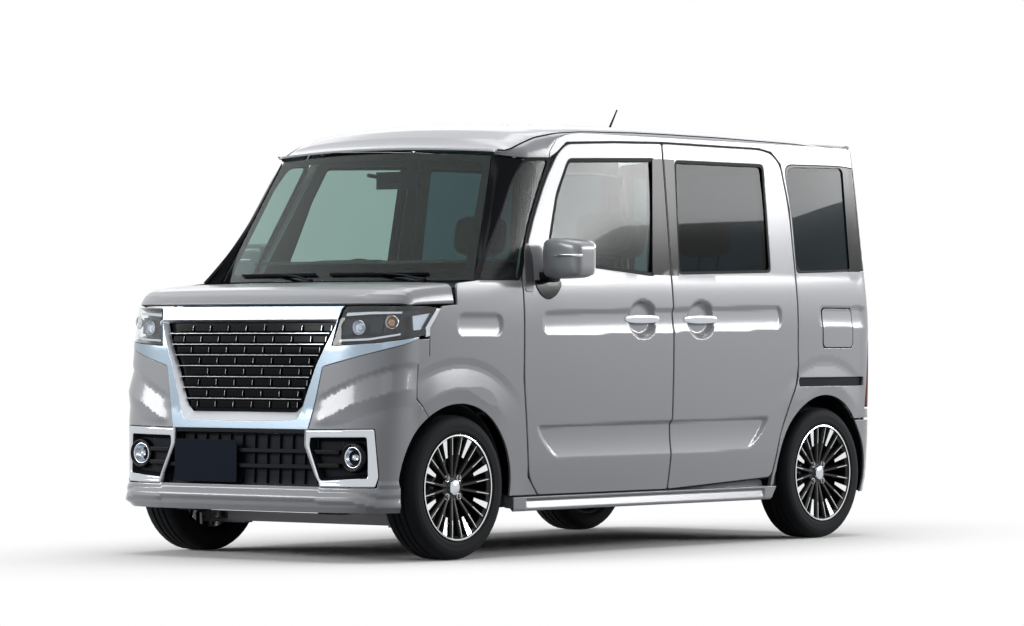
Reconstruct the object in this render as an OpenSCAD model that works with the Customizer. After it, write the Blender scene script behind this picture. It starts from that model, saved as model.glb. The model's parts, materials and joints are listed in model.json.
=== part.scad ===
// Tall kei-class wagon: hinged front doors, sliding rear doors, top-hung tailgate.
// Millimetres. X to the car's left, Y to the rear, Z up; the origin is on the floor,
// midway between the bumpers. Left-hand pieces are modelled and mirrored to the right.

/* [Overall] */
// Length over both bumpers
length = 3395; // [3300:5:3500]
// Width over the body sides, without the mirrors
width = 1475; // [1440:5:1520]
// Height of the roof's crown
height = 1752; // [1720:1:1800]
// Front axle to rear axle
wheelbase = 2460; // [2420:5:2520]
// Front axle to the front end
front_overhang = 500; // [485:5:520]
// Centre to centre of the wheels of one axle
track = 1280; // [1260:2:1290]

/* [Wheels] */
// Outer diameter of a tyre
tyre_d = 562.5; // [540:0.5:575]
// Width of a tyre
tyre_w = 165; // [145:1:175]
// Diameter of the rim's outer flange
rim_d = 414; // [380:1:420]
// Radius of the front wheel arch
arch_r = 325; // [320:1:332]
// Radius of the rear wheel arch
rear_arch_r = 335; // [325:1:340]
// Diameter of the wheel bearings' spindles
spindle_d = 30; // [24:1:40]

/* [Body] */
// Thickness of a door or side wall
wall = 50; // [40:1:55]
// Thickness of the outer panels of the front end
skin_t = 5; // [4:0.5:8]
// Gap round a door or lid
gap = 7; // [6:0.5:8]
// Thickness of the glass
glass_t = 5; // [4:0.5:6]
// Height of the sill's top edge
sill_z = 240; // [230:1:250]
// Height of the belt line at the front door's leading edge
belt_z = 1083; // [1070:1:1095]
// Floor height
floor_z = 240; // [236:1:246]

/* [Openings] */
// Diameter of the hinge pins
pin_d = 8; // [6:0.5:9]
// Diameter of the steering wheel
wheel_d = 370; // [340:1:380]

/* [Hidden] */
$fn = 48;

// Stations along the car
fe = -length / 2;              // front end
re = length / 2;               // rear end
fa = fe + front_overhang;      // front axle
ra = fa + wheelbase;           // rear axle
hy = fa + 390;                 // leading edge of the front door
by = fa + 1367;                // between front and sliding door
sy = ra - 213;                 // trailing edge of the sliding door
axle_z = tyre_d / 2;
hub_x = track / 2;
// Heights
waist_z = 900;
rail_z = height - 90;          // top of the doors
cant_z = height - 62;          // top of the side rail, where the roof starts
// Corners where the front and rear faces turn into the sides
fc = fe + 267.5;
rc = re - 160;
hw = width / 2;
bumper_top_z = 512;
fit = 0.05;                    // radial clearance of a pin in its bore
seat_gap = 0.3;                // clearance between a fixed piece and its seat

// ---------------------------------------------------------------- helpers
function lim(v, a, b) = min(max(v, a), b);
function mix(a, b, t) = a + (b - a) * t;
function steps(a, b, n) = [for (i = [0:n]) mix(a, b, i / n)];
function area(p) = let (n = len(p))
    [for (i = [0:n - 1]) p[i][0] * p[(i + 1) % n][1] - p[(i + 1) % n][0] * p[i][1]] * [for (i = [0:n - 1]) 0.5];
function normal(a, b) = let (d = b - a) [d[1], -d[0]] / norm(d);
// Outline p moved outwards by d, corner by corner
function grow(p, d) = let (n = len(p), s = sign(area(p)) * d)
    [for (i = [0:n - 1])
        let (u = normal(p[(i + n - 1) % n], p[i]), v = normal(p[i], p[(i + 1) % n]))
        p[i] + (u + v) * s / (1 + u * v)];

// Solid between two equal grids of points: a is the outer face, rows upwards and columns
// to the right as seen from outside, and b is the face behind it
module slab(a, b) {
    nr = len(a);
    nc = len(a[0]);
    m = nr * nc;
    function ia(i, j) = i * nc + j;
    function ib(i, j) = m + i * nc + j;
    polyhedron(
        points = [for (r = a) for (p = r) p, for (r = b) for (p = r) p],
        faces = [
            for (i = [0:nr - 2]) for (j = [0:nc - 2]) each [
                [ia(i, j), ia(i + 1, j), ia(i + 1, j + 1)],
                [ia(i, j), ia(i + 1, j + 1), ia(i, j + 1)],
                [ib(i, j), ib(i + 1, j + 1), ib(i + 1, j)],
                [ib(i, j), ib(i, j + 1), ib(i + 1, j + 1)]],
            for (j = [0:nc - 2]) each [
                [ia(0, j), ia(0, j + 1), ib(0, j + 1)],
                [ia(0, j), ib(0, j + 1), ib(0, j)],
                [ia(nr - 1, j + 1), ia(nr - 1, j), ib(nr - 1, j)],
                [ia(nr - 1, j + 1), ib(nr - 1, j), ib(nr - 1, j + 1)]],
            for (i = [0:nr - 2]) each [
                [ia(i + 1, 0), ia(i, 0), ib(i, 0)],
                [ia(i + 1, 0), ib(i, 0), ib(i + 1, 0)],
                [ia(i, nc - 1), ia(i + 1, nc - 1), ib(i + 1, nc - 1)],
                [ia(i, nc - 1), ib(i + 1, nc - 1), ib(i, nc - 1)]]],
        convexity = 10);
}
// Outline in the Y-Z plane swept from x0 to x1
module prism_x(p, x0, x1) translate([x0, 0, 0]) rotate([90, 0, 90]) linear_extrude(x1 - x0) polygon(p);
// Outline in the X-Z plane swept from y0 to y1
module prism_y(p, y0, y1) translate([0, y1, 0]) rotate([90, 0, 0]) linear_extrude(y1 - y0) polygon(p);
module box(lo, hi) translate(lo) cube(hi - lo);
module rod(a, b, d) {
    v = b - a;
    translate(a) rotate([0, acos(v[2] / norm(v)), atan2(v[1], v[0])]) cylinder(h = norm(v), d = d);
}
module both() {
    children();
    mirror([1, 0, 0]) children();
}
function flip_x(g) = [for (r = g) [for (q = r) [-q[0], q[1], q[2]]]];

// ---------------------------------------------------------------- surfaces
// Half width of the body at station y and height z
function side_x(y, z) =
    width / 2
    - (z <= waist_z ? 25 * pow((waist_z - z) / 650, 2) : 15 * pow(lim(z - waist_z, 0, 220) / 220, 2))
    - 0.09 * max(z - 1120, 0)
    - 28 * pow(max(fa + 297.5 - y, 0) / 600, 2)
    - 22 * pow(max(y - ra + 262.5, 0) / 600, 2)
    - lim((z - 1085) / 500, 0, 1) * 70 * pow(max(fa + 1097.5 - y, 0) / 700, 2);
function side_grid(ys, zs, d) = [for (z = zs) [for (y = ys) [side_x(y, z) - d, y, z]]];
low_zs = [178, 260, 350, 450, 580, 720, 860, 960, 1040, 1120];
high_zs = [for (k = [0.3, 0.55, 0.87]) mix(belt_z, rail_z, k)];
// Heights at which a hidden inner face bends
inner_zs = [sill_z + 10, 450, 720, 900, 1120, 1400, cant_z];
module side_slab(ys, zs, d0, d1) slab(side_grid(ys, zs, d0), side_grid(ys, zs, d1));
// Everything between the two sides, d inside them
module between(ys, zs, d) slab(side_grid(ys, zs, d), flip_x(side_grid(ys, zs, d)));

// Front face: distance behind the front end at height z, and a rounded plan shape
nose = [[189, 7.5], [215, 0], [250, 0], [285, 13.5], [300, 17.5], [400, 20.5], [511, 26.5],
    [582, 35.5], [820, 50.5], [929, 63.5], [985, 79.5]];
function front_pt(t, z, d) = let (
        n = lookup(z, [[550, 4], [929, 2.9]]),
        s = min(abs(t), 90),
        y = fc + max(abs(t) - 90, 0) * 2,
        x = side_x(y, z) - d,
        b = fc - fe - lookup(z, nose) - d)
    [sign(t) * x * pow(sin(s), 2 / n), abs(t) < 90 ? fc - b * pow(cos(s), 2 / n) : y, z];
front_ts = [-122, -106, -90, -86, -78, -68, -58, -48, -38, -28, -18, -10, -4, 0,
    4, 10, 18, 28, 38, 48, 58, 68, 78, 86, 90, 106, 122];
module front_slab(ts, zs, d0, d1) slab(
    [for (z = zs) [for (t = ts) front_pt(t, z, d0)]],
    [for (z = zs) [for (t = ts) front_pt(t, z, d1)]]);

// Rear face, built the same way; its columns run from the car's left to its right
tail = [[189, 30], [250, 5], [300, 0], [450, 0], [512, 6], [560, 14], [900, 20], [1160, 34],
    [1500, 66], [1620, 84], [1700, 104]];
function rear_pt(t, z, d) = let (
        n = 5,
        s = min(abs(t), 90),
        y = rc - max(abs(t) - 90, 0) * 2,
        x = side_x(y, z) - d,
        b = re - rc - lookup(z, tail) - d)
    [-sign(t) * x * pow(sin(s), 2 / n), abs(t) < 90 ? rc + b * pow(cos(s), 2 / n) : y, z];
rear_ts = [-90, -85, -75, -60, -45, -30, -18, -8, -2, 2, 8, 18, 30, 45, 60, 75, 85, 90];
module rear_slab(ts, zs, d0, d1) slab(
    [for (z = zs) [for (t = ts) rear_pt(t, z, d0)]],
    [for (z = zs) [for (t = ts) rear_pt(t, z, d1)]]);

// Windscreen: corners and the bow at its middle
ws_low = [669, hy - 237, belt_z + 2];
ws_top = [556, hy + 13, height - 163];
function ws_pt(u, v, d) = let (c = mix(ws_low, ws_top, v), k = 1 - u * u)
    [u * c[0], c[1] - mix(121, 61, v) * k + d, c[2] + 18 * v * k - d * 0.4];

// Roof: distance below the crown along its length, and drop towards the sides
roof_us = [-1, -0.97, -0.9, -0.75, -0.5, -0.25, 0, 0.25, 0.5, 0.75, 0.9, 0.97, 1];
roof_vs = [0, 0.02, 0.045, 0.08, 0.13, 0.2, 0.35, 0.6, 0.85, 1];
roof_drop = [[0, 125], [0.02, 98], [0.045, 70], [0.08, 44], [0.13, 22], [0.2, 9], [0.35, 1],
    [0.45, 0], [0.6, 1], [0.85, 9], [1, 30]];
roof_rear = re - 182;
roof_t = 20;
rail_t = 16;
function crown(x) = 8e-5 * x * x;
function roof_pt(u, v, d) = let (
        k = 1 - u * u,
        y = mix(ws_top[1] - 61 * k, roof_rear, v),
        x = u * (side_x(y, cant_z) - rail_t - 2),
        front = ws_top[2] + 18 * k + roof_t + 1,
        back = height - lookup(v, roof_drop) - crown(x) - lookup(abs(u), [[0.9, 0], [0.97, 6], [1, 16]]))
    [x, y, mix(front, back, lookup(v, [[0, 0], [0.02, 0.4], [0.045, 0.8], [0.08, 1]])) - d];

// ---------------------------------------------------------------- outlines, [y, z]
door_line = [[hy, belt_z], [hy, 705], [hy + 51, 313], [hy + 124, sill_z],
    [by - gap / 2, sill_z], [by - gap / 2, rail_z + 0.5], [fa + 1049, rail_z - 7], [fa + 754, rail_z - 20],
    [fa + 700, rail_z - 60], [fa + 615, belt_z + 410], [fa + 517, belt_z + 252], [fa + 427, belt_z + 95]];
slide_line = [[by + gap / 2, sill_z], [sy - 155, sill_z + 33], [sy - 116, 451], [sy - 59, 577], [sy + 7, 692],
    [sy, 807], [sy + 1, belt_z + 57], [sy - 9, belt_z + 327], [sy - 51, rail_z - 61],
    [sy - 110, rail_z - 14], [sy - 196, rail_z - 1], [by + gap / 2, rail_z + 1]];
door_win = [[fa + 574, belt_z + 97], [fa + 1245, belt_z + 46], [fa + 1299, rail_z - 76],
    [fa + 763, rail_z - 93], [fa + 677, belt_z + 351]];
slide_win = [[by + 63, belt_z + 53], [sy - 184, belt_z + 68], [sy - 184, rail_z - 75], [by + 90, rail_z - 77]];
rear_win = [[ra - 192, belt_z + 65], [ra + 225, belt_z + 77], [ra + 225, rail_z - 75],
    [ra + 205, rail_z - 61], [ra - 220, rail_z - 70]];
quarter_win = [[fa + 127, belt_z + 9], [fa + 366, belt_z + 11], [fa + 393, belt_z + 50], [fa + 458, belt_z + 191],
    [fa + 560, belt_z + 361], [fa + 640, rail_z - 89], [fa + 514, rail_z - 94], [fa + 434, rail_z - 174],
    [fa + 330, belt_z + 248]];
lid_line = [[ra - 15, 835], [ra - 2, 822], [ra + 205, 822], [ra + 218, 835], [ra + 218, 975], [ra + 205, 988],
    [ra - 2, 988], [ra - 15, 975]];
fender_line = [[fa - 173, 790], [fa - 236, 761], [fa - 241, 626], [fa - 174, 558], [fa - 150, 400],
    [hy - 60, sill_z], [hy + 140, sill_z], [hy + 140, belt_z + 5], [fa + 127, belt_z + 5], [fa - 4, belt_z - 8],
    [fa - 16, belt_z - 20], [fa - 16, belt_z - 92], [fa - 95, belt_z - 98], [fa - 110, belt_z - 108],
    [fa - 173, belt_z - 184]];

// Lines cut into the side: the handle groove and the lower crease
groove_line = [[fa + 492, 955], [fa + 504, 971], [fa + 1300, 990], [ra - 355, 1005], [ra - 332, 995], [ra - 345, 960],
    [ra - 369, 900], [fa + 1260, 888], [fa + 548, 874], [fa + 510, 890]];
crease_line = [[fa + 474, 516], [ra - 412, 531], [ra - 542, 393], [fa + 597, 383]];

// Front view outlines, [x, z], right half from the middle outwards
function whole(p) = concat(p, [for (i = [len(p) - 2:-1:1]) [-p[i][0], p[i][1]]]);
surround_out = whole([[0, 984], [hw - 253.5, 984], [hw - 265.5, 973], [hw - 293.5, 830], [hw - 105.5, 841], [hw - 21.5, 865], [hw - 21.5, 857],
    [hw - 117.5, 806], [hw - 329.5, 752], [hw - 352.5, 630], [hw - 381.5, 509.5], [0, 509.5]]);
surround_in = whole([[0, 925], [hw - 285.5, 925], [hw - 373.5, 752], [hw - 424.5, 627], [hw - 457.5, 577], [0, 577]]);
low_open = whole([[0, 493], [hw - 393, 493], [hw - 393, 450], [hw - 317.5, 292], [0, 292]]);
bezel_out = [[hw - 392.5, 509], [hw - 92.5, 513], [hw - 80.5, 331], [hw - 90.5, 290], [hw - 315.5, 290], [hw - 392.5, 450]];
bezel_in = [[hw - 369.5, 477], [hw - 120.5, 480], [hw - 115.5, 327], [hw - 316.5, 316], [hw - 371.5, 444]];
bumper_up = whole([[0, 752], [hw - 329.5, 752], [hw - 117.5, 806], [hw - 21.5, 857], [hw + 22.5, 885], [hw + 22.5, 1000], [0, 1000]]);
lamp_low = [[30, 831], [58, 842], [90, 866], [122, 907], [140, 955]];
bumper_up_below = [[hw - 293.5, 700], [hw - 293.5, 828], [hw - 105.5, 841], [hw - 21.5, 865], [hw + 22.5, 888], [hw + 22.5, 700]];
fog_at = [hw - 179.5, 404];
fog_d = 78;
// Rear view outlines, [x, z]
gate_line = whole([[0, 520], [hw - 185.5, 520], [hw - 185.5, 880], [hw - 97.5, 905], [hw - 97.5, 1150], [hw - 107.5, rail_z - 60],
    for (x = [hw - 115.5, 400, 200, 0]) [x, height - 66.3 - crown(x)]]);
gate_win = whole([[0, belt_z + 82], [hw - 141.5, belt_z + 82], [hw - 167.5, rail_z - 70], [0, rail_z - 70]]);
lamp_line = [[hw - 179.5, 560], [hw - 32.5, 560], [hw - 32.5, 860], [hw - 179.5, 880]];

// Hinge axes
door_axis = [width / 2 - 11, hy + 22];
door_pin_z = [650, 860];
bonnet_axis = [fa - 34, belt_z - 22];
gate_axis = [roof_rear + 24, height - 46];
gate_hinge_x = 330;
lid_axis = [side_x(ra - 9, 998) - 5, ra - 9];
mirror_x = hw + 197.5;
king_x = hub_x - 40;
arm_z = axle_z - 163;
wheel_at = [-330, fa + 697, belt_z - 58];
wheel_tilt = 27;

// ---------------------------------------------------------------- floor and structure
module tub(y, r, x0, x1) {
    intersection() {
        translate([x0, y, axle_z]) rotate([0, 90, 0]) difference() {
            cylinder(h = x1 - x0, r = r + 5, $fn = 96);
            translate([0, 0, -1]) cylinder(h = x1 - x0 + 2, r = r, $fn = 96);
        }
        box([x0 - 1, y - 400, 235], [x1 + 1, y + 400, 700]);
    }
}
module wheel_space(y, x0, x1, r) translate([x0, y, axle_z]) rotate([0, 90, 0]) cylinder(h = x1 - x0, r = r, $fn = 96);
module floor_pan() {
    in_x = side_x(by, floor_z - 12) - wall - 52 - seat_gap;
    front_x = side_x(fa - arch_r, 250) - skin_t - 12;
    rear_x = side_x(ra + rear_arch_r, 250) - wall - 22;
    color("dimgray") difference() {
        union() {
            box([-in_x, fa + 245, floor_z - 12], [in_x, ra - 320, floor_z]);
            box([-in_x, ra - 332, floor_z - 12], [in_x, ra - 320, 432]);
            box([-in_x, ra - 332, 420], [in_x, re - 70, 432]);
            box([-70, fa + 260 + seat_gap, floor_z - 1], [70, by + 200, floor_z + 70]);
            for (s = [-1, 1]) {
                box([s * 400 - 30, fe + 130, floor_z - 60], [s * 400 + 30, ra - 320, floor_z - 11]);
                box([s * 400 - 30, ra - 360, floor_z - 60], [s * 400 + 30, ra - 310, 421]);
                box([s * 400 - 30, ra - 360, 370], [s * 400 + 30, re - 70, 421]);
                box([s * 350 - 30, fe + 105, 380], [s * 350 + 30, fa + 244, 470]);
                box([s * 350 - 30, fe + 130, floor_z - 60], [s * 350 + 30, fe + 190, 381]);
            }
            box([-500, fe + 75, 380], [500, fe + 106, 470]);
            both() wheel_space(ra, 515, rear_x, rear_arch_r + 7);
        }
        both() wheel_space(ra, 520, width, rear_arch_r + 2);
        both() wheel_space(fa, 400, width, arch_r + 3);
        // The rear tubs are open below the axle
        both() box([500, ra - 400, -100], [width, ra + 400, 345]);
    }
    color("dimgray") both() difference() {
        union() {
            tub(fa, arch_r + 3, 400, front_x);
            // Apron and strut tower
            box([375, fa - 120, 465], [400.5, fa + 200, 892]);
            box([380, fa - 80, 880], [600, fa + 80, 892]);
            // Arm that carries the fender
            box([599, fa - 6, 880], [side_x(fa - 6, 880) - skin_t - 7 - seat_gap, fa + 6, 892]);
            for (y = [fa - 90, fa + 80]) box([396, y, 600], [600, y + 10, 892]);
        }
        translate([535, fa, 600]) cylinder(h = 100, d = 130);
    }
}
// Lashing loops that hang from the rear rails, below the bumper
module tie_downs() {
    color("dimgray") both() difference() {
        union() {
            box([395, re - 150, 172], [405, re - 90, 370 - seat_gap]);
            translate([395, re - 120, 172]) rotate([0, 90, 0]) cylinder(h = 10, d = 60);
        }
        translate([380, re - 120, 172]) rotate([0, 90, 0]) cylinder(h = 40, d = 30);
    }
}
module bulkhead() {
    color("dimgray") difference() {
        union() {
            box([-600, fa + 245, floor_z + seat_gap], [600, fa + 260, belt_z - 48]);
            // Shelf with the lip that carries the cowl
            box([-600, fa + 2, belt_z - 60], [600, fa + 246, belt_z - 48]);
            box([-600, fa + 2, belt_z - 49], [600, fa + 8, belt_z - 40 - seat_gap]);
            both() {
                prism_x([[bonnet_axis[0] - 6, bonnet_axis[1] - 4], [bonnet_axis[0] - 6, belt_z - 50], [fa + 110, belt_z - 60],
                    [fa + 110, belt_z - 48], [bonnet_axis[0] + 6, bonnet_axis[1] - 20], [bonnet_axis[0] + 2, bonnet_axis[1] - 4],
                    [bonnet_axis[0] + 2, bonnet_axis[1]], [bonnet_axis[0] - 3, bonnet_axis[1]]], 604, 616);
                box([590, fa + 90, belt_z - 60], [616, fa + 110, belt_z - 48]);
                translate([588, bonnet_axis[0], bonnet_axis[1]]) rotate([0, 90, 0]) cylinder(h = 20, d = pin_d);
            }
        }
        both() wheel_space(fa, 395, 800, arch_r + 9);
        both() box([379, fa + 200, 460], [431, fa + 270, 480]);
    }
}
// Line of the roof's side edge, lifted by d, closed above and in front
function roof_cut(d) = concat([[ws_low[1] - 300, ws_low[2]], [ws_low[1], ws_low[2]], [ws_top[1] - 2, ws_top[2] - 8]],
    [for (v = roof_vs) [roof_pt(1, v, 0)[1], roof_pt(1, v, roof_t - d)[2]]],
    [[re + 10, roof_pt(1, 1, roof_t - d)[2]], [re + 10, height + 100], [ws_low[1] - 300, height + 100]]);
// Front of the side frame above the belt: it stays behind the quarter glass
front_cut = concat([[fa - 200, belt_z + 5], [fa + 366, belt_z + 5]],
    [for (i = [2:5]) quarter_win[i]], [[fa + 640, height], [fa - 200, height]]);
module side_ring() {
    difference() {
        side_slab(concat(steps(hy - 45, fa + 1097.5, 3), [by, sy, ra + 60, re - 90]), concat([190], inner_zs), wall + 12, wall + 52);
        prism_x(grow(door_line, -40), 0, width);
        prism_x(grow(slide_line, -40), 0, width);
        prism_x(rear_win, 0, width);
        prism_x(roof_cut(-1), 0, width);
        prism_x(front_cut, 0, width);
        wheel_space(ra, 0, width, rear_arch_r + 8);
        box([0, ra - 200, 0], [width, re, bumper_top_z]);
        box([0, ra + 180, 0], [width, re, height]);
    }
    // Jacking pads
    for (y = [hy + 188, ra - 480]) box([620, y - 40, 165], [646, y + 40, 191]);
}
module side_outer(lid) {
    ys = concat(steps(hy - 45, fa + 1097.5, 5), steps(by, rc + 1, 5));
    difference() {
        union() {
            side_slab(ys, [belt_z + 60, high_zs[0], high_zs[1], mix(belt_z, rail_z, 0.75), rail_z - 60, rail_z + 5, cant_z], 0, rail_t);
            side_slab(steps(sy - 170, rc + 1, 5), concat([sill_z - gap + seat_gap], [for (z = low_zs) if (z > 300) z], high_zs,
                [cant_z]), 0, wall + 20);
            rear_slab([-90, -85, -75, -60, -45], concat([bumper_top_z, 620, 780, 900, 1040], high_zs, [cant_z]), 0, 45);
        }
        box([0, fe, 0], [width, sy - 170, rail_z - 110]);
        prism_x(quarter_win, 0, width);
        prism_x(concat([[fe, 0], [fa - 200, belt_z]], [for (i = [0, 8, 7, 6, 5]) quarter_win[i]], [[fa + 640, 0]]), 0, width);
        prism_x(grow(door_line, gap), 0, width);
        prism_x(grow(slide_line, seat_gap), 0, width);
        intersection() {
            prism_x(grow(slide_line, 4), 0, width);
            side_slab(ys, concat([200], inner_zs), -20, 30);
        }
        prism_x(rear_win, 0, width);
        prism_x(roof_cut(12), 0, width);
        difference() {
            prism_x(roof_cut(-1), 0, width);
            side_slab(ys, [belt_z, high_zs[0], high_zs[1], mix(belt_z, rail_z, 0.75), rail_z - 60, rail_z + 5, height], -20, rail_t + 0.7);
        }
        wheel_space(ra, 0, width, rear_arch_r);
        wheel_space(ra, 0, side_x(ra + rear_arch_r, 250) - wall - 21, rear_arch_r + 8);
        box([0, ra, 0], [width, re, bumper_top_z]);
        prism_y(grow(gate_line, gap), rc - 60, re + 10);
        box([0, roof_rear + 12, rail_z - 80], [hw - 107.5 + gap, re + 10, height]);
        prism_y(grow(lamp_line, seat_gap), rc - 30, re + 10);
        prism_x([[sy + 8, 653], [ra + 310, 653], [ra + 310, 695], [sy + 8, 695]], side_x(ra, 670) - 14, width);
        if (lid) {
            prism_x(grow(lid_line, gap), width / 2 - 55, width);
            prism_x([[ra - 15 - gap, 822 - gap], [ra, 822 - gap], [ra, 988 + gap], [ra - 15 - gap, 988 + gap]], width / 2 - 55, width);
        }
    }
    // Windscreen pillar
    vs = [0.01, 0.25, 0.5, 0.75, 0.97];
    slab([for (v = vs) [ws_pt(1.004, v, -1), pillar_pt(v, 0)]], [for (v = vs) [ws_pt(1.004, v, 24), pillar_pt(v, 30)]]);
}
module body_sides() {
    color("gainsboro") {
        for (left = [true, false]) mirror([left ? 0 : 1, 0, 0]) {
            side_ring();
            side_outer(left);
        }
        // Fuel lid's pin, held in the wall above and below
        translate([lid_axis[0], lid_axis[1], 805]) cylinder(h = 200, d = 5);
    }
    color("silver") both() for (z = door_pin_z) {
        translate([door_axis[0], door_axis[1], z - 32]) cylinder(h = 64, d = pin_d);
        for (s = [-1, 1]) box([width / 2 - wall - 30, door_axis[1] - 5, z + s * 26 - 5],
            [door_axis[0] + 4, door_axis[1] + 5, z + s * 26 + 5]);
    }
}
function pillar_pt(v, d) = let (
        p = lookup_pt(v, [[fa + 127, belt_z + 9], [fa + 330, belt_z + 248], [fa + 434, rail_z - 174], [fa + 514, rail_z - 94]]))
    [side_x(p[0], p[1]) - 1 - d * 0.8, p[0] - 9, p[1] + 3 - d * 0.3];
// Point at fraction v of the height between the first and last points of an outline
function lookup_pt(v, p) = let (z = mix(p[0][1], p[len(p) - 1][1], v))
    [lookup(z, [for (q = p) [q[1], q[0]]]), z];
module roof() {
    color("gainsboro") {
        difference() {
            slab([for (v = roof_vs) [for (u = roof_us) roof_pt(u, v, 0)]],
                [for (v = roof_vs) [for (u = roof_us) roof_pt(u, v, roof_t)]]);
            // Lengthwise ribs are left between shallow channels
            for (x = [-390, -130, 130, 390]) translate([x, 0, 0]) hull() for (y = [hy + 300, roof_rear - 260])
                translate([0, y, height - crown(x) - 5]) cylinder(h = 40, d = 90, $fn = 24);
        }
        // Tailgate hinge lugs and pins
        both() {
            for (x = [gate_hinge_x - 24, gate_hinge_x + 14])
                box([x, roof_rear - 6, gate_axis[1] - 7], [x + 10, gate_axis[0] + 6, gate_axis[1] + 5]);
            translate([gate_hinge_x - 20, gate_axis[0], gate_axis[1]]) rotate([0, 90, 0]) cylinder(h = 40, d = pin_d);
        }
    }
}
module fenders() {
    ys = concat(steps(fa - 250, fa + 50, 4), steps(fa + 150, hy + 10, 2));
    both() color("gainsboro") difference() {
        intersection() {
            side_slab(ys, concat([sill_z - 10], [for (z = low_zs) if (z > 300) z]), 0, skin_t + 7);
            prism_x(fender_line, 500, width);
        }
        prism_x(grow(door_line, gap), 500, width);
        wheel_space(fa, 0, width, arch_r);
        // The edge beside the door is the bare sheet
        intersection() {
            box([500, hy - 36, 0], [width, hy + 40, height]);
            side_slab(ys, concat([200], [for (z = low_zs) if (z > 300) z]), skin_t, skin_t + 30);
        }
    }
}
module front_bumper() {
    color("gainsboro") difference() {
        front_slab(front_ts, [189, 215, 250, 285, 300, 400, 511, 582, 700, 820, 885], 0, skin_t + 3);
        prism_y(surround_out, fe - 10, fc);
        prism_y(bumper_up, fe - 10, fc + 90);
        prism_y(low_open, fe - 10, fc);
        both() prism_y(bezel_out, fe - 10, fc);
        both() prism_x(fender_line, 500, width);
        both() wheel_space(fa, hub_x - tyre_w, width, arch_r - 22);
    }
}
module grille_surround() {
    color("silver") difference() {
        intersection() {
            front_slab([for (t = front_ts) if (abs(t) <= 90) t], [490, 582, 700, 820, 929, 990], -2, 14);
            prism_y(surround_out, fe - 10, fc + 10);
        }
        prism_y(surround_in, fe - 10, fc);
    }
}
module grille() {
    slats = 8;
    pitch = (925 - 577) / slats;
    ts = [-60, -42, -28, -14, 0, 14, 28, 42, 60];
    color("black") intersection() {
        union() {
            front_slab(ts, [570, 700, 820, 930], 34, 38);
            for (i = [1:slats - 1]) front_slab(ts,
                [577 + i * pitch - 6, 577 + i * pitch + 6], 8, 35);
            for (i = [1:slats - 2]) for (x = steps(-400, 400, 10))
                box([x - 4, fe + 40, 577 + (i + 0.35) * pitch], [x + 4, fe + 120, 577 + (i + 0.65) * pitch]);
        }
        prism_y(surround_in, fe - 10, fc);
        front_slab([for (t = front_ts) if (abs(t) <= 68) t], [560, 700, 820, 940], 6, 38);
    }
}
module lower_grille() {
    color("black") intersection() {
        difference() {
            front_slab([for (t = front_ts) if (abs(t) <= 60) t], [280, 300, 400, 500], 10, 34);
            for (i = [0:2]) prism_y([[-420, 304 + 66 * i], [420, 304 + 66 * i], [420, 350 + 66 * i], [-420, 350 + 66 * i]],
                fe - 10, fe + 44);
        }
        prism_y(low_open, fe - 10, fc);
    }
}
module headlamps() {
    ts = [29, 40, 50, 60, 70, 80, 90, 106, 122, 140];
    vs = [0, 0.33, 0.67, 1];
    both() color("white") difference() {
        slab([for (v = vs) [for (t = ts) front_pt(t, mix(lookup(t, lamp_low) - 8, 983, v), 1)]],
            [for (v = vs) [for (t = ts) front_pt(t, mix(lookup(t, lamp_low) - 8, 983, v), 60)]]);
        prism_y(grow(surround_out, seat_gap), fe - 10, fc + 100);
        prism_y(bumper_up_below, fe - 10, fc + 200);
        prism_x(fender_line, 500, width);
    }
}
module fog_bezels() {
    both() color("silver") difference() {
        intersection() {
            front_slab([10, 24, 36, 48, 58, 68, 78, 86], [280, 300, 400, 520], -2, 30);
            prism_y(bezel_out, fe - 10, fc);
        }
        intersection() {
            prism_y(bezel_in, fe - 10, fc);
            front_slab([4, 24, 36, 48, 58, 68, 78, 86], [270, 300, 400, 530], -20, 22);
        }
        translate([fog_at[0], fe, fog_at[1]]) rotate([-90, 0, 0]) cylinder(h = 200, d = fog_d);
    }
}
module fog_lamps() {
    both() color("white") translate([fog_at[0], fe + 62, fog_at[1]]) rotate([-90, 0, 0])
        cylinder(h = 40, d = fog_d - 2 * seat_gap);
}
module rear_bumper() {
    color("gainsboro") difference() {
        rear_slab(concat([-150, -130, -110], rear_ts, [110, 130, 150]), [189, 250, 300, 450, bumper_top_z - seat_gap], 0, 10);
        both() wheel_space(ra, hub_x - tyre_w, width, rear_arch_r - 15);
    }
}
module side_skirts() {
    both() color("gainsboro") difference() {
        side_slab(steps(hy - 45, ra - 310, 6), [174, sill_z - gap], -3, wall + 8);
        wheel_space(fa, 0, width, arch_r + 10);
        wheel_space(ra, 0, width, rear_arch_r);
    }
}
// ---------------------------------------------------------------- fixed glass and cowl
module windscreen() {
    us = steps(-1, 1, 12);
    color("lightblue", 0.5) slab([for (v = steps(0, 1, 4)) [for (u = us) ws_pt(u, v, 0)]],
        [for (v = steps(0, 1, 4)) [for (u = us) ws_pt(u, v, glass_t)]]);
}
module front_quarter_glass() {
    both() color("lightblue", 0.5) intersection() {
        side_slab(steps(fa + 110, fa + 680, 5), [belt_z, belt_z + 120, belt_z + 300, rail_z - 80], 6, 6 + glass_t);
        prism_x(quarter_win, 400, width);
    }
}
module rear_side_glass() {
    both() color("dimgray", 0.8) for (w = [[slide_win, by + 60, sy - 180], [rear_win, ra - 240, ra + 352]]) intersection() {
        side_slab(steps(w[1], w[2], 2), [belt_z + 40, belt_z + 200, rail_z - 60], 6, 6 + glass_t);
        prism_x(w[0], 400, width);
    }
}
wiper_pivots = [[-60, -520], [480, 20]];
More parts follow.
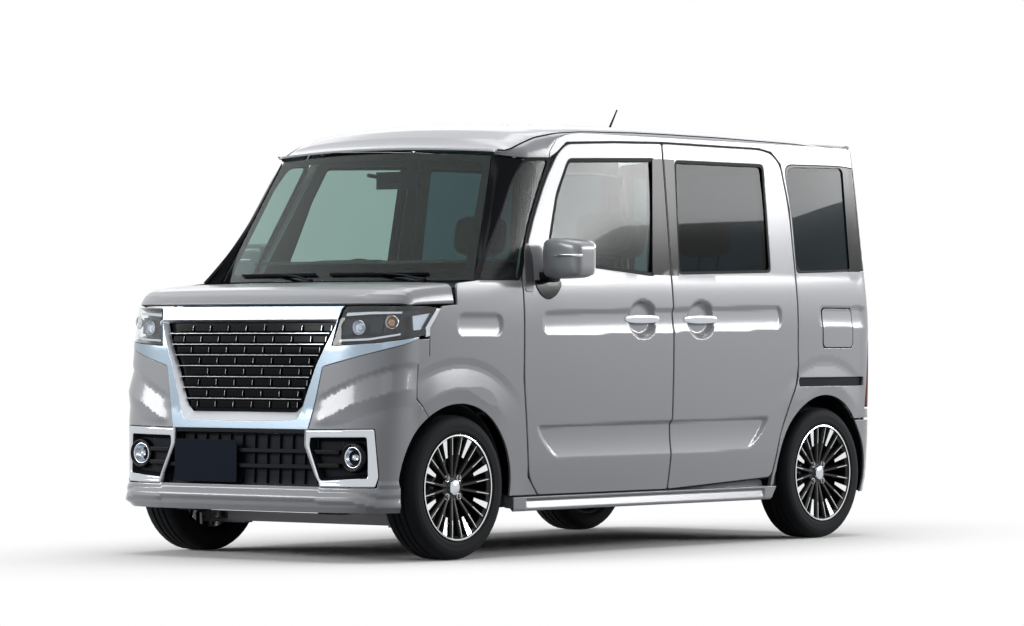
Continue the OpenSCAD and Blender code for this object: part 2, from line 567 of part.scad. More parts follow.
module cowl() {
    color("black") difference() {
        slab([for (v = [0, 0.4, 1]) [for (u = steps(-1, 1, 10)) cowl_pt(u, v, 0)]],
            [for (v = [0, 0.4, 1]) [for (u = steps(-1, 1, 10)) cowl_pt(u, v, 6)]]);
        for (w = wiper_pivots) translate(cowl_pt(w[0] / 669, 0.5, 50)) cylinder(h = 100, d = 24 + 2 * seat_gap);
    }
}
function cowl_pt(u, v, d) = let (w = ws_pt(u * 0.98, 0, -2))
    [w[0], mix(fa + 4, w[1], v), mix(belt_z - 34, w[2] - 8, v) - d];
module wipers() {
    color("black") for (w = wiper_pivots) {
        c = cowl_pt(w[0] / 669, 0.5, 0);
        us = steps(min(w[0], w[1]) / 669, max(w[0], w[1]) / 669, 6);
        slab([for (v = [0.05, 0.066]) [for (u = us) ws_pt(u, v, -16)]], [for (v = [0.05, 0.066]) [for (u = us) ws_pt(u, v, -4)]]);
        translate([c[0], c[1], c[2] - 10]) cylinder(h = 44, d = 24);
        rod([c[0], c[1], c[2] + 26], ws_pt((w[0] + w[1]) / 1338, 0.058, -12), 12);
    }
}
module antenna() {
    p = roof_pt(0, 0.648, 0);
    color("black") {
        translate([0, p[1], p[2] + seat_gap]) cylinder(h = 14, d1 = 60, d2 = 30);
        rod([0, p[1], p[2] + 8], [0, p[1] + 60, p[2] + 100], 9);
    }
}
// ---------------------------------------------------------------- cabin
function cushion(y0, y1, z0, z1, r) = [[y0 + r, z0], [y1 - r, z0], [y1, z0 + r], [y1, z1 - r], [y1 - r, z1], [y0 + r, z1],
    [y0, z1 - r], [y0, z0 + r]];
function lean(p, a, at) = [for (q = p) at + [(q[0] - at[0]) * cos(a) + (q[1] - at[1]) * sin(a),
    (q[1] - at[1]) * cos(a) - (q[0] - at[0]) * sin(a)]];
module seat(x0, x1, y, z0) {
    prism_x([[y - 440, z0 + seat_gap], [y - 30, z0 + seat_gap], [y - 60, 440.7], [y - 440, 440.7]], x0 + 50, x1 - 50);
    prism_x(cushion(y - 500, y + 20, 441, 565, 40), x0, x1);
    prism_x(lean(cushion(y + 20 + seat_gap, y + 150, 465, 1190, 25), 13, [y + 20 + seat_gap, 490]), x0 + 10, x1 - 10);
    for (x = [-50, 50]) rod([(x0 + x1) / 2 + x, y + 240, 1150], [(x0 + x1) / 2 + x, y + 262, 1260], 12);
    prism_x(lean(cushion(y + 60, y + 150, 1225, 1400, 35), 8, [y + 60, 500]), (x0 + x1) / 2 - 130, (x0 + x1) / 2 + 130);
}
module front_seats() {
    color("darkslategray") for (s = [-330, 330]) seat(s - 230, s + 230, fa + 1190, floor_z);
}
module rear_seat() {
    color("darkslategray") for (s = [-1, 1]) seat(s > 0 ? 4 : -504, s > 0 ? 504 : -4, ra - 420, floor_z);
}
wheel_dir = [0, cos(wheel_tilt), sin(wheel_tilt)];
module dashboard() {
    dash_y = fa + 260 + seat_gap;
    color("dimgray") difference() {
        union() {
            prism_x([[dash_y, belt_z - 10], [fa + 440, belt_z + 30], [fa + 590, belt_z + 17], [fa + 630, belt_z - 60],
                [fa + 600, belt_z - 280], [fa + 500, belt_z - 370], [dash_y, belt_z - 370]], -596, 596);
            prism_x([[fa + 440, belt_z + 20], [fa + 470, belt_z + 90], [fa + 580, belt_z + 100], [fa + 590, belt_z + 10]],
                wheel_at[0] - 160, wheel_at[0] + 160);
        }
        rod(wheel_at - wheel_dir * 160, wheel_at, 90 + 2 * seat_gap);
    }
}
module steering_column() {
    color("black") {
        rod(wheel_at - wheel_dir * 158, wheel_at - wheel_dir * 60, 90);
        rod(wheel_at - wheel_dir * 61, wheel_at + wheel_dir * 10, 20);
    }
}
module steering_wheel() {
    color("black") translate(wheel_at) rotate([-(90 - wheel_tilt), 0, 0]) {
        rotate_extrude($fn = 60) translate([wheel_d / 2 - 15, 0]) circle(d = 30, $fn = 16);
        difference() {
            union() {
                translate([0, 0, -20]) cylinder(h = 40, d = 110);
                for (a = [0, 180, 270]) rotate([0, 0, a]) box([40, -20, -10], [wheel_d / 2 - 18, 20, 8]);
            }
            translate([0, 0, -21]) cylinder(h = 32, d = 20 + 2 * fit);
        }
    }
}
module interior_mirror() {
    p = ws_pt(0, 0.83, glass_t + seat_gap);
    color("black") {
        rod(p + [0, 4, 0], [0, p[1] + 190, p[2] - 15], 16);
        box([-110, p[1] + 180, p[2] - 50], [110, p[1] + 200, p[2] + 20]);
    }
}
// ---------------------------------------------------------------- running gear
module engine() {
    color("darkgray") box([-310, fe + 200, 180], [310, fa + 190, 880]);
}
module exhaust() {
    color("silver") {
        pipe_z = floor_z - 12 - seat_gap - 22;
        rod([-150, fa + 190 + seat_gap, pipe_z], [-150, ra + 10, pipe_z], 44);
        rod([-150, ra - 2, pipe_z], [-150, ra + 130, 300], 44);
        rod([-330, ra + 200, 300], [250, ra + 200, 300], 170);
        rod([-280, ra + 200, 270], [-280, re - 40, 250], 40);
    }
}
module fuel_tank() {
    color("black") prism_y([[-110, 168], [340, 168], [360, 188], [360, floor_z - 12], [-110, floor_z - 12]], by + 180, ra - 380);
}
module front_subframe() {
    color("dimgray") {
        box([-430, fa - 70, arm_z + 10], [430, fa + 110, floor_z - 60.3]);
        both() {
            // Lower arm with its ball-joint pin
            box([380, fa - 22, arm_z], [612, fa + 22, arm_z + 16]);
            translate([king_x, fa, arm_z + 10]) cylinder(h = 32, d = 16);
            // Strut and spring, hung from the tower
            translate([535, fa, 640]) cylinder(h = 880 - seat_gap - 640, d = 110);
            translate([535, fa, 592]) cylinder(h = 60, d = 50);
        }
    }
}
module rear_axle() {
    color("dimgray") {
        both() {
            rod([400, ra - 280, 300], [450, ra, axle_z], 50);
            rod([440, ra, axle_z], [hub_x + 20, ra, axle_z], spindle_d);
            box([376, ra - 309, 275], [424, ra - 250, 370 - seat_gap]);
        }
        box([-430, ra - 200, 262], [430, ra - 150, 312]);
    }
}
// ---------------------------------------------------------------- doors and lids
module door_body(line, win, ys) {
    difference() {
        intersection() {
            side_slab(ys, concat([for (z = low_zs) if (z > 200) z], high_zs, [cant_z]), 0, wall);
            prism_x(line, 400, width);
        }
        prism_x(win, 400, width);
        intersection() {
            prism_x(groove_line, 600, width);
            side_slab(ys, [860, 960, 1020], -10, 8);
        }
    }
}
module handle(y, z) {
    x = side_x(y, z);
    box([x - 9, y - 120, z - 10], [x + 4, y + 120, z + 14]);
}
module front_door() {
    color("gainsboro") difference() {
        union() {
            door_body(door_line, door_win, concat(steps(hy - 2, fa + 1097.5, 6), [by + 2]));
            handle(fa + 1161, 940);
        }
        // Rounded front edge, so that the door swings clear of the fender
        intersection() {
            box([600, hy - 5, 300], [width, hy + 2, belt_z]);
            side_slab([hy - 10, hy + 20], [for (z = low_zs) if (z > 200) z], -5, 2);
        }
        for (z = door_pin_z) {
            translate([door_axis[0], door_axis[1], z - 100]) cylinder(h = 200, d = pin_d + 2 * fit);
            for (s = [-1, 1]) box([500, hy - 50, z + s * 26 - 12], [door_axis[0] + 6.5, hy + 45, z + s * 26 + 12]);
        }
    }
}
module front_door_glass() {
    color("lightblue", 0.5) intersection() {
        side_slab(concat(steps(fa + 560, fa + 1097.5, 4), [fa + 1310]), [belt_z + 30, 1250, 1400, rail_z - 60], 12, 12 + glass_t);
        prism_x(door_win, 400, width);
    }
}
function round_box(a0, a1, b0, b1, r) = [for (c = [[a1 - r, b1 - r, 0], [a0 + r, b1 - r, 90], [a0 + r, b0 + r, 180],
    [a1 - r, b0 + r, 270]]) for (t = [0:18:90]) [c[0] + r * cos(c[2] + t), c[1] + r * sin(c[2] + t)]];
module mirror_unit() {
    x = side_x(hy + 140, belt_z + 60);
    difference() {
        union() {
            // Housing, rounded in front view and in plan
            color("gainsboro") intersection() {
                prism_y(round_box(x + 20, mirror_x, belt_z + 17, belt_z + 170, 34), hy + 85, hy + 197);
                linear_extrude(height) polygon(round_box(x + 20, mirror_x, hy + 85, hy + 240, 42));
            }
            color("black") box([x - 30, hy + 100, belt_z - 50], [x + 60, hy + 190, belt_z + 18]);
        }
        side_slab(steps(hy + 60, hy + 230, 3), [1000, 1040, 1085, 1120, 1300], -seat_gap, 100);
    }
}
module sliding_doors() {
    both() color("gainsboro") {
        door_body(slide_line, slide_win, concat([by], steps(by + 100, sy + 12, 5)));
        handle(fa + 1559, 940);
    }
}
module bonnet() {
    us = [-1, -0.985, -0.95, -0.88, -0.7, -0.4, 0, 0.4, 0.7, 0.88, 0.95, 0.985, 1];
    vs = [0, 0.03, 0.08, 0.16, 0.28, 0.5, 0.75, 1];
    color("gainsboro") {
        slab([for (v = vs) [for (u = us) bonnet_pt(u, v, 0)]], [for (v = vs) [for (u = us) bonnet_pt(u, v, 14)]]);
        both() difference() {
            box([590, bonnet_axis[0] - 60, bonnet_axis[1] - 9], [602, bonnet_axis[0] + 9, bonnet_axis[1] + 11]);
            translate([580, bonnet_axis[0], bonnet_axis[1]]) rotate([0, 90, 0]) cylinder(h = 40, d = pin_d + 2 * fit);
        }
    }
}
function bonnet_pt(u, v, d) = let (
        e = d > 0 ? 10 : 0,
        y0 = fc - (fc - fe - 92) * pow(1 - pow(abs(u), 2.9), 1 / 2.9) + e,
        y = mix(y0, fa - 26, v),
        low = 990 + max(y - fe - 92, 0) * 0.033,
        rise = lookup(v, [[0, 0], [0.03, 20], [0.08, 42], [0.16, 60], [0.28, 72], [0.5, 80], [0.75, 86], [1, 88]]),
        fall = lookup(abs(u), [[0, 0], [0.5, 0.02], [0.8, 0.07], [0.9, 0.1], [0.95, 0.15], [0.985, 0.35], [1, 1]]))
    [u * (side_x(max(y, fc), 1040) - e), y, low + max(rise * (1 - fall) - d, 0)];
module tailgate() {
    color("gainsboro") difference() {
        intersection() {
            rear_slab([for (t = rear_ts) if (abs(t) <= 75) t], concat([515, 620, 780, 900, 1040], high_zs, [cant_z + 8]), 0, 45);
            prism_y(gate_line, rc - 60, re + 10);
        }
        prism_y(gate_win, rc - 60, re + 10);
    }
    // Hinge arms
    color("gainsboro") both() difference() {
        prism_x([[gate_axis[0] - 7, gate_axis[1] + 6], [gate_axis[0] + 6, gate_axis[1] + 6], [gate_axis[0] + 6, height - 76],
            [re - 120, height - 76], [re - 120, height - 96], [gate_axis[0] - 7, height - 96]],
            gate_hinge_x - 12, gate_hinge_x + 12);
        translate([gate_hinge_x - 20, gate_axis[0], gate_axis[1]]) rotate([0, 90, 0]) cylinder(h = 40, d = pin_d + 2 * fit);
    }
}
module tailgate_glass() {
    color("dimgray", 0.8) intersection() {
        rear_slab([for (t = rear_ts) if (abs(t) <= 75) t], [belt_z + 77, mix(belt_z, rail_z, 0.37), mix(belt_z, rail_z, 0.63), rail_z - 60], 4, 4 + glass_t);
        prism_y(gate_win, rc - 60, re + 10);
    }
}
module spoiler() {
    top = hw - 115.5;
    xs = [-top, -400, -200, 0, 200, 400, top];
    function pt(x, v, d) = [x, mix(gate_axis[0] + 5, re - 106 + 26 * (1 - pow(x / top, 2)), v),
        height - crown(x) - (d ? 66 : 30 + 10 * v)];
    color("gainsboro") difference() {
        slab([for (v = [0, 0.5, 1]) [for (x = xs) pt(x, v, false)]], [for (v = [0, 0.5, 1]) [for (x = xs) pt(x, v, true)]]);
        both() box([gate_hinge_x - 30, gate_axis[0] - 10, height - 120], [gate_hinge_x + 30, gate_axis[0] + 24, height + 10]);
    }
}
module rear_wiper() {
    y = rear_pt(0, 1120, 0)[1];
    q = rear_pt(-40, 1225, -12);
    color("black") {
        difference() {
            translate([0, y - 6, 1140]) rotate([-90, 0, 0]) cylinder(h = 22, d = 40);
            rear_slab([-8, -2, 2, 8], [1040, 1250], -seat_gap, 60);
        }
        rod([0, y + 10, 1140], [q[0], q[1], 1225], 10);
    }
}
module rear_plate() {
    color("navy") difference() {
        box([-165, re - 40, 700], [165, re - 9, 865]);
        rear_slab([-60, -45, -30, -18, -8, -2, 2, 8, 18, 30, 45, 60], [620, 780, 900], -seat_gap, 60);
    }
}
module front_plate() {
    color("navy") difference() {
        box([-315, fe + 6, 300], [15, fe + 60, 465]);
        front_slab([for (t = front_ts) if (abs(t) <= 60) t], [280, 300, 400, 500], 10 - seat_gap, 90);
    }
}
module fuel_lid() {
    color("gainsboro") difference() {
        union() {
            intersection() {
                side_slab(steps(ra - 20, ra + 222, 4), [815, 860, 905, 990], 0, 5);
                prism_x(lid_line, 400, width);
            }
            box([lid_axis[0] - 6, ra - 15, 838], [lid_axis[0] + 2.5, ra - 2, 972]);
        }
        translate([lid_axis[0], lid_axis[1], 800]) cylinder(h = 220, d = 5 + 2 * fit);
    }
}
module tail_lamps() {
    both() color("darkred") intersection() {
        rear_slab([-90, -85, -75, -60, -45], [540, 620, 780, 900], -1, 40);
        prism_y(lamp_line, rc - 30, re + 10);
    }
}
// ---------------------------------------------------------------- wheels and steering
module knuckle() {
    color("dimgray") difference() {
        union() {
            translate([king_x - 25, fa, axle_z]) rotate([0, 90, 0]) cylinder(h = 22, d = 110);
            rod([king_x - 10, fa, axle_z], [hub_x + 20, fa, axle_z], spindle_d);
            box([king_x - 25, fa - 22, arm_z + 20], [king_x - 3, fa + 22, axle_z]);
            box([king_x - 25, fa - 22, arm_z + 20], [king_x + 16, fa + 22, arm_z + 46]);
            // Strut clamp, up the inner side of the tyre
            box([king_x - 80, fa - 20, axle_z + 40], [king_x - 3, fa + 20, axle_z + 120]);
            box([king_x - 80, fa - 20, axle_z + 40], [king_x - 52, fa + 20, axle_z + 300]);
        }
        translate([king_x, fa, arm_z + 16]) cylinder(h = 36, d = 16 + 2 * fit);
    }
}
module tyre() {
    r = tyre_d / 2;
    ri = rim_d / 2 - 12;
    w = tyre_w / 2;
    color("black") rotate([0, 90, 0]) rotate_extrude($fn = 72) polygon([[ri, -w + 16], [ri + 12, -w + 5], [(r + ri) / 2, -w],
        [r - 22, -w + 6], [r - 4, -w + 22], [r, -w + 45], [r, w - 45], [r - 4, w - 22], [r - 22, w - 6], [(r + ri) / 2, w],
        [ri + 12, w - 5], [ri, w - 16]]);
}
module rim(disc_d) {
    w = tyre_w / 2;
    ri = rim_d / 2 - 12 - seat_gap;
    color("silver") rotate([0, 90, 0]) difference() {
        union() {
            rotate_extrude($fn = 72) polygon([[ri, w - 16], [ri - 8, w - 8], [ri - 14, w - 12], [ri - 16, w - 30], [ri - 18, -w + 20],
                [ri - 10, -w + 16], [ri, -w + 16]]);
            for (k = [0:7]) {
                // Pair of slim spokes, and a wedge on the rim between two pairs
                for (side = [-8.5, 8.5]) rotate([0, 0, 45 * k + side]) translate([0, 0, w - 38]) linear_extrude(24)
                    polygon([[40, -6.5], [ri - 12, -8], [ri - 12, 8], [40, 6.5]]);
                rotate([0, 0, 45 * k + 22.5]) translate([0, 0, w - 33]) linear_extrude(18)
                    polygon([[ri - 76, -3], [ri - 11, -20], [ri - 11, 20], [ri - 76, 3]]);
            }
            translate([0, 0, w - 36]) cylinder(h = 26, d = 128);
            translate([0, 0, -w + 46]) cylinder(h = 2 * w - 80, d = 110);
            translate([0, 0, -w + 48]) cylinder(h = 22, d = disc_d);
        }
        translate([0, 0, -w]) cylinder(h = w + 22, d = spindle_d + 2 * fit);
        for (k = [0:3]) rotate([0, 0, 90 * k + 45]) translate([50, 0, w - 20]) cylinder(h = 30, d = 14, $fn = 24);
    }
}
module at_wheel(s, y) translate([s * hub_x, y, axle_z]) mirror([s < 0 ? 1 : 0, 0, 0]) children();

floor_pan();
tie_downs();
bulkhead();
body_sides();
roof();
fenders();
front_bumper();
grille_surround();
grille();
lower_grille();
headlamps();
fog_bezels();
fog_lamps();
rear_bumper();
side_skirts();
windscreen();
front_quarter_glass();
rear_side_glass();
cowl();
wipers();
antenna();
front_seats();
rear_seat();
dashboard();
steering_column();
interior_mirror();
engine();
exhaust();
fuel_tank();
front_subframe();
rear_axle();
sliding_doors();
tail_lamps();
front_plate();
front_door();  // door_left
front_door_glass();  // door_glass_left
mirror_unit();  // mirror_left
mirror([1, 0, 0]) front_door();  // door_right
mirror([1, 0, 0]) front_door_glass();  // door_glass_right
mirror([1, 0, 0]) mirror_unit();  // mirror_right
bonnet();
tailgate();
tailgate_glass();
spoiler();
rear_wiper();
rear_plate();
fuel_lid();
knuckle();  // knuckle_left
mirror([1, 0, 0]) knuckle();  // knuckle_right
steering_wheel();
at_wheel(1, fa) tyre();  // tyre_front_left
at_wheel(1, fa) rim(230);  // rim_front_left
at_wheel(-1, fa) tyre();  // tyre_front_right
at_wheel(-1, fa) rim(230);  // rim_front_right
at_wheel(1, ra) tyre();  // tyre_rear_left
at_wheel(1, ra) rim(190);  // rim_rear_left
at_wheel(-1, ra) tyre();  // tyre_rear_right
at_wheel(-1, ra) rim(190);  // rim_rear_right
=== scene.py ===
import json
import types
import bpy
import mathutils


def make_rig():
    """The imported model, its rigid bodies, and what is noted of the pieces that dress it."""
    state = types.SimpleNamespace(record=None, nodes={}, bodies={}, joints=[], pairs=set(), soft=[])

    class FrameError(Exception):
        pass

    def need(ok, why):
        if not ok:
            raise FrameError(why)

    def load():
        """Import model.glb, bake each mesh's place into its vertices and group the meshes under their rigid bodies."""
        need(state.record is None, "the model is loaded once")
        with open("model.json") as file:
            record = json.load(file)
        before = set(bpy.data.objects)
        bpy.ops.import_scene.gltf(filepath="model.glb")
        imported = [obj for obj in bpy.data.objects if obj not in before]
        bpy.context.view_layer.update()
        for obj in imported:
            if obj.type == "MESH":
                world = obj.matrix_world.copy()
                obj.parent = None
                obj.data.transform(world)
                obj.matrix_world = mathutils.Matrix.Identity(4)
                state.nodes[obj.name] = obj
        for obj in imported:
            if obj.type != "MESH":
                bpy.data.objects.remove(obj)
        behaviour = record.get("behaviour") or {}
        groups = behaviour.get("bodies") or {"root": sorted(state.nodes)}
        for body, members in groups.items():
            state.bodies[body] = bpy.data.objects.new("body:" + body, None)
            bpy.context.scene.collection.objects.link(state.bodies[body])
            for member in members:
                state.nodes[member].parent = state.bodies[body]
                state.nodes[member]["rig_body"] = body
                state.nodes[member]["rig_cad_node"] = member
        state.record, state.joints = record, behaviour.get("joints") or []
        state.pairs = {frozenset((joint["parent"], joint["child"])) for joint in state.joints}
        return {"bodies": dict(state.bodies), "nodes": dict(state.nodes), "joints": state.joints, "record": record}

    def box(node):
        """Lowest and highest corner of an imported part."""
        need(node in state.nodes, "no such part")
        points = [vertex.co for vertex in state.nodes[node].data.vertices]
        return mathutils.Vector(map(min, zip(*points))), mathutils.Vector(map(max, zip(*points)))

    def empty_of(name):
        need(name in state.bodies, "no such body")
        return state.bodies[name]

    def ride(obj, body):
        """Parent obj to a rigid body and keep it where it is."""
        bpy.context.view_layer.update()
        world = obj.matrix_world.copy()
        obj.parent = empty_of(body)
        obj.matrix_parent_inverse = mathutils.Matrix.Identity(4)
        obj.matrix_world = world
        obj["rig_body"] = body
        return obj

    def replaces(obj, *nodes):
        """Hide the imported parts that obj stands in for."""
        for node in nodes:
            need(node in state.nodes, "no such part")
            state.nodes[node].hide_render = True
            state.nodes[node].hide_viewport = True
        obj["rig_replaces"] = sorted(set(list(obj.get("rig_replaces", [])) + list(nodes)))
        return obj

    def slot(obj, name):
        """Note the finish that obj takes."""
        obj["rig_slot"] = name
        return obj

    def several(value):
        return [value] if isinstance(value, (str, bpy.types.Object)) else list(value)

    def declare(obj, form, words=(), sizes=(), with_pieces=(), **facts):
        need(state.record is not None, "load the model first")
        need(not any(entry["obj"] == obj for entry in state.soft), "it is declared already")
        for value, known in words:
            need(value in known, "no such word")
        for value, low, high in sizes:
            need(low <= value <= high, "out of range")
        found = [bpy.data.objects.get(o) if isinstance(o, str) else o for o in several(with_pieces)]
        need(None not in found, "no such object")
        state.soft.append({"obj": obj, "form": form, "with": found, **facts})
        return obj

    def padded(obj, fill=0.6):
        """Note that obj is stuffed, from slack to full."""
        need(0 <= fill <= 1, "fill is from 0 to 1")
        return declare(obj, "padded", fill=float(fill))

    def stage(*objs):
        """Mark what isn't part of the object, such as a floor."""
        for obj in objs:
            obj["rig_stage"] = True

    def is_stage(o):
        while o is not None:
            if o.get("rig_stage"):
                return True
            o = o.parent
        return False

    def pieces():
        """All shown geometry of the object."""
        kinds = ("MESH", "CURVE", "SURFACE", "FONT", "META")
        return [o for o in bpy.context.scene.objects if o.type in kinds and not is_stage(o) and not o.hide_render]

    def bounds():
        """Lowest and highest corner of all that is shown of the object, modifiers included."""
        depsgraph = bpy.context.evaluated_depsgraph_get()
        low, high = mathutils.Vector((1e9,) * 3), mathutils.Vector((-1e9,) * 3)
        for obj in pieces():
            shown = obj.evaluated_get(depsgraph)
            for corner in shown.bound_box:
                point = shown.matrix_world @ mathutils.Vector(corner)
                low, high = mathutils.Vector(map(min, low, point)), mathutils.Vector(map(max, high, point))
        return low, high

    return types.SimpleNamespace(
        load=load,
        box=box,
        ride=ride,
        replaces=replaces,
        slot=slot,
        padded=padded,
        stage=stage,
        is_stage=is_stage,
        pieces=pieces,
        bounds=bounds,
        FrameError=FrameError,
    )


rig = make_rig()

bl_info = {
    "name": "Light Wagon Dresser",
    "version": (1, 0, 0),
    "blender": (4, 5, 0),
    "location": "View3D > Sidebar > Wagon",
    "description": "Builds the panels, glass, lamps, wheels and cabin of a tall light wagon on its packed frame",
    "category": "Object",
}

import json
import math

import bpy
import numpy as np
from bpy.props import FloatProperty, FloatVectorProperty, PointerProperty
from mathutils import Vector
from mathutils.geometry import delaunay_2d_cdt

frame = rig.load()
CAD_BOX = [[float(v) for v in corner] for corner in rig.bounds()]

# Stations of the body in millimetres: x to the car's left, y to the rear, z up
FRONT_END = CAD_BOX[0][1] * 1000
REAR_END = CAD_BOX[1][1] * 1000
HALF_WIDTH = 737.5
HEIGHT = 1752.0
FRONT_AXLE = FRONT_END + 500
REAR_AXLE = FRONT_AXLE + 2460
HINGE_LINE = FRONT_AXLE + 390
DOOR_SPLIT = FRONT_AXLE + 1367
SLIDE_END = REAR_AXLE - 213
NOSE_START = FRONT_END + 267.5
TAIL_START = REAR_END - 160
ROOF_END = REAR_END - 182
AXLE_Z = 281.25
HUB_X = 640.0
BELT = 1083.0
RAIL = HEIGHT - 90
CANT = HEIGHT - 62
SILL = 240.0
FRONT_HANDLE, REAR_HANDLE = -37, 362
PANEL_GAP = 7

# Spans of the flat coordinates (u, v) in which the windscreen, roof and bonnet are outlined
SCREEN_U, SCREEN_V = 600, 580
ROOF_U, ROOF_V = 600, 2300
HOOD_U, HOOD_V = 720, 380

# Radii of the wheel arches, and the flare round them as (radius, depth)
REAR_ARCH, FENDER_ARCH = 335, 325
FLARE = [(325, 3.5), (340, 4.5), (378, 8.5), (388, 8.2), (462, -2.4), (478, -3.0), (506, 0)]

# A sheet's rolled edge, the step between points on its edge, and the reach over which a slope is measured
EDGE_ROLL, EDGE_STEP, PROBE = 2.5, 14, 0.6

# Whether a piece is mirrored, and the end of its name
SIDES = ((False, "left"), (True, "right"))


# ---------------------------------------------------------------- small maths
def ease(t):
    """Runs smoothly from 0 to 1."""
    t = np.clip(t, 0, 1)
    return t * t * (3 - 2 * t)


def unit(v):
    return v / np.maximum(np.linalg.norm(v, axis=-1, keepdims=True), 1e-9)


def pick(x, table):
    """Reads a table of (x, value) rows."""
    return np.interp(x, [r[0] for r in table], [r[1] for r in table])


def whole(half):
    """A front or rear outline from its half, listed from the middle outwards."""
    return [tuple(p) for p in half] + [(-p[0], p[1]) for p in reversed(half) if p[0] != 0]


def ccw(p):
    """The same outline, counter-clockwise."""
    p = np.asarray(p, float)
    q = np.roll(p, -1, 0)
    return p if (p[:, 0] * q[:, 1] - p[:, 1] * q[:, 0]).sum() > 0 else p[::-1].copy()


def offset(p, d):
    """Moves a counter-clockwise outline inwards by d."""
    e = unit(np.roll(p, -1, 0) - p)
    n = np.stack([-e[:, 1], e[:, 0]], 1)
    m = np.roll(n, 1, 0)
    k = np.maximum(1 + (n * m).sum(1, keepdims=True), 0.35)
    return p + d * (n + m) / k


def rounded(p, r, n=5):
    """Rounds the corners of an outline; r is one radius or one for each corner."""
    p = [np.array(q, float) for q in p]
    rr = r if hasattr(r, "__len__") else [r] * len(p)
    out = []
    for i, q in enumerate(p):
        a, b = p[i - 1] - q, p[(i + 1) % len(p)] - q
        la, lb = np.linalg.norm(a), np.linalg.norm(b)
        t = min(rr[i], 0.46 * la, 0.46 * lb)
        straight = abs(a[0] * b[1] - a[1] * b[0]) < 0.05 * la * lb
        if t < 0.5 or straight:
            out.append(q)
            continue
        s, e = q + a / la * t, q + b / lb * t
        for k in np.linspace(0, 1, n):
            out.append(s * (1 - k) ** 2 + q * 2 * k * (1 - k) + e * k * k)
    return np.array(out)


def dense(p, step):
    """Adds points to an outline, no further apart than the step."""
    p = np.asarray(p, float)
    out = []
    for a, b in zip(p, np.roll(p, -1, 0)):
        n = max(1, math.ceil(np.linalg.norm(b - a) / step))
        out += [a + (b - a) * k / n for k in range(n)]
    return np.array(out)


def inside(pts, loops):
    """True for the points inside the first loop and outside the holes."""
    hit = np.zeros(len(pts), bool)
    x, y = pts[:, :1], pts[:, 1:2]
    for a in loops:
        b = np.roll(a, -1, 0)
        dy = np.where(np.abs(b[:, 1] - a[:, 1]) < 1e-9, 1e-9, b[:, 1] - a[:, 1])
        cross = ((a[:, 1] > y) != (b[:, 1] > y)) & (x < (b[:, 0] - a[:, 0]) * (y - a[:, 1]) / dy + a[:, 0])
        hit ^= cross.sum(1) % 2 == 1
    return hit


def fill(loops, pitch, zones=()):
    """Triangles that fill an outline with holes, finer inside the zones (lo_a, hi_a, lo_b, hi_b, pitch)."""
    rim = np.concatenate(loops)
    lo, hi = rim.min(0), rim.max(0)

    def lattice(lo, hi, p):
        rows = np.arange(lo[1] + p / 2, hi[1], p * 0.87)
        pts = [np.zeros((0, 2))]
        for k, r in enumerate(rows):
            a = np.arange(lo[0] + p * (0.5 if k % 2 else 1), hi[0], p)
            pts.append(np.stack([a, np.full_like(a, r)], 1))
        return np.concatenate(pts)

    inner = [lattice(lo, hi, pitch)]
    for z in zones:
        zl, zh = np.array([z[0], z[2]]), np.array([z[1], z[3]])
        inner = [g[~((g > zl) & (g < zh)).all(1)] for g in inner]
        a, b = np.maximum(zl, lo), np.minimum(zh, hi)
        if (b > a).all():
            inner.append(lattice(a, b, z[4]))
    pts = []
    for g, p in zip(inner, [pitch] + [z[4] for z in zones]):
        if len(g) == 0:
            continue
        g = g[inside(g, loops)]
        keep = np.ones(len(g), bool)
        for k in range(0, len(g), 4000):
            d = np.linalg.norm(g[k:k + 4000, None] - rim[None], axis=2).min(1)
            keep[k:k + 4000] = d > 0.45 * p
        pts.append(g[keep])
    allp = np.concatenate([rim] + pts)
    edges, at = [], 0
    for l in loops:
        n = len(l)
        edges += [(at + k, at + (k + 1) % n) for k in range(n)]
        at += n
    result = delaunay_2d_cdt([Vector(p) for p in allp], edges, [], 0, 1e-5)
    v = np.array([(p[0], p[1]) for p in result[0]])
    f = np.array(result[2])
    return v, f[inside(v[f].mean(1), loops)]


# ---------------------------------------------------------------- body surfaces
def side_x(y, z):
    """Half width of the body at station y and height z."""
    # tuck below the shoulder and round above it, then tumblehome, then the taper to nose and tail in plan
    x = HALF_WIDTH - np.where(z <= 900, 25 * ((900 - z) / 650) ** 2, 15 * (np.clip(z - 900, 0, 220) / 220) ** 2)
    x = x - 0.09 * np.maximum(z - 1120, 0)
    x = x - 28 * (np.maximum(FRONT_AXLE + 297.5 - y, 0) / 600) ** 2 - 22 * (np.maximum(y - REAR_AXLE + 262.5,
            0) / 600) ** 2
    return x - np.clip((z - 1085) / 500, 0, 1) * 70 * (np.maximum(FRONT_AXLE + 1097.5 - y, 0) / 700) ** 2


def pocket(y, z, y0, y1, z0, z1, soft, depth):
    """A pressed pocket with rounded ends, deepest under its upper edge; z0 and z1 may slope with y."""
    mid = np.clip((z - z0) / np.maximum(z1 - z0, 1), 0, 1)
    corner = 46 * (1 - np.sqrt(np.clip(1 - (2 * np.abs(mid - 0.5)) ** 2.6, 0, 1)))
    e = ease((y - y0 - corner) / soft) * ease((y1 - corner - y) / soft)
    k = 1 - mid
    return depth * e * ease(k / 0.2) * (1 - k ** 3)


def flare(y, z, cy):
    """How far the body stands out round the wheel arch whose axle is at station cy."""
    a = np.degrees(np.arctan2(z - AXLE_Z, np.abs(y - cy)))
    return pick(np.hypot(y - cy, z - AXLE_Z), FLARE) * ease((a - 34) / 34)


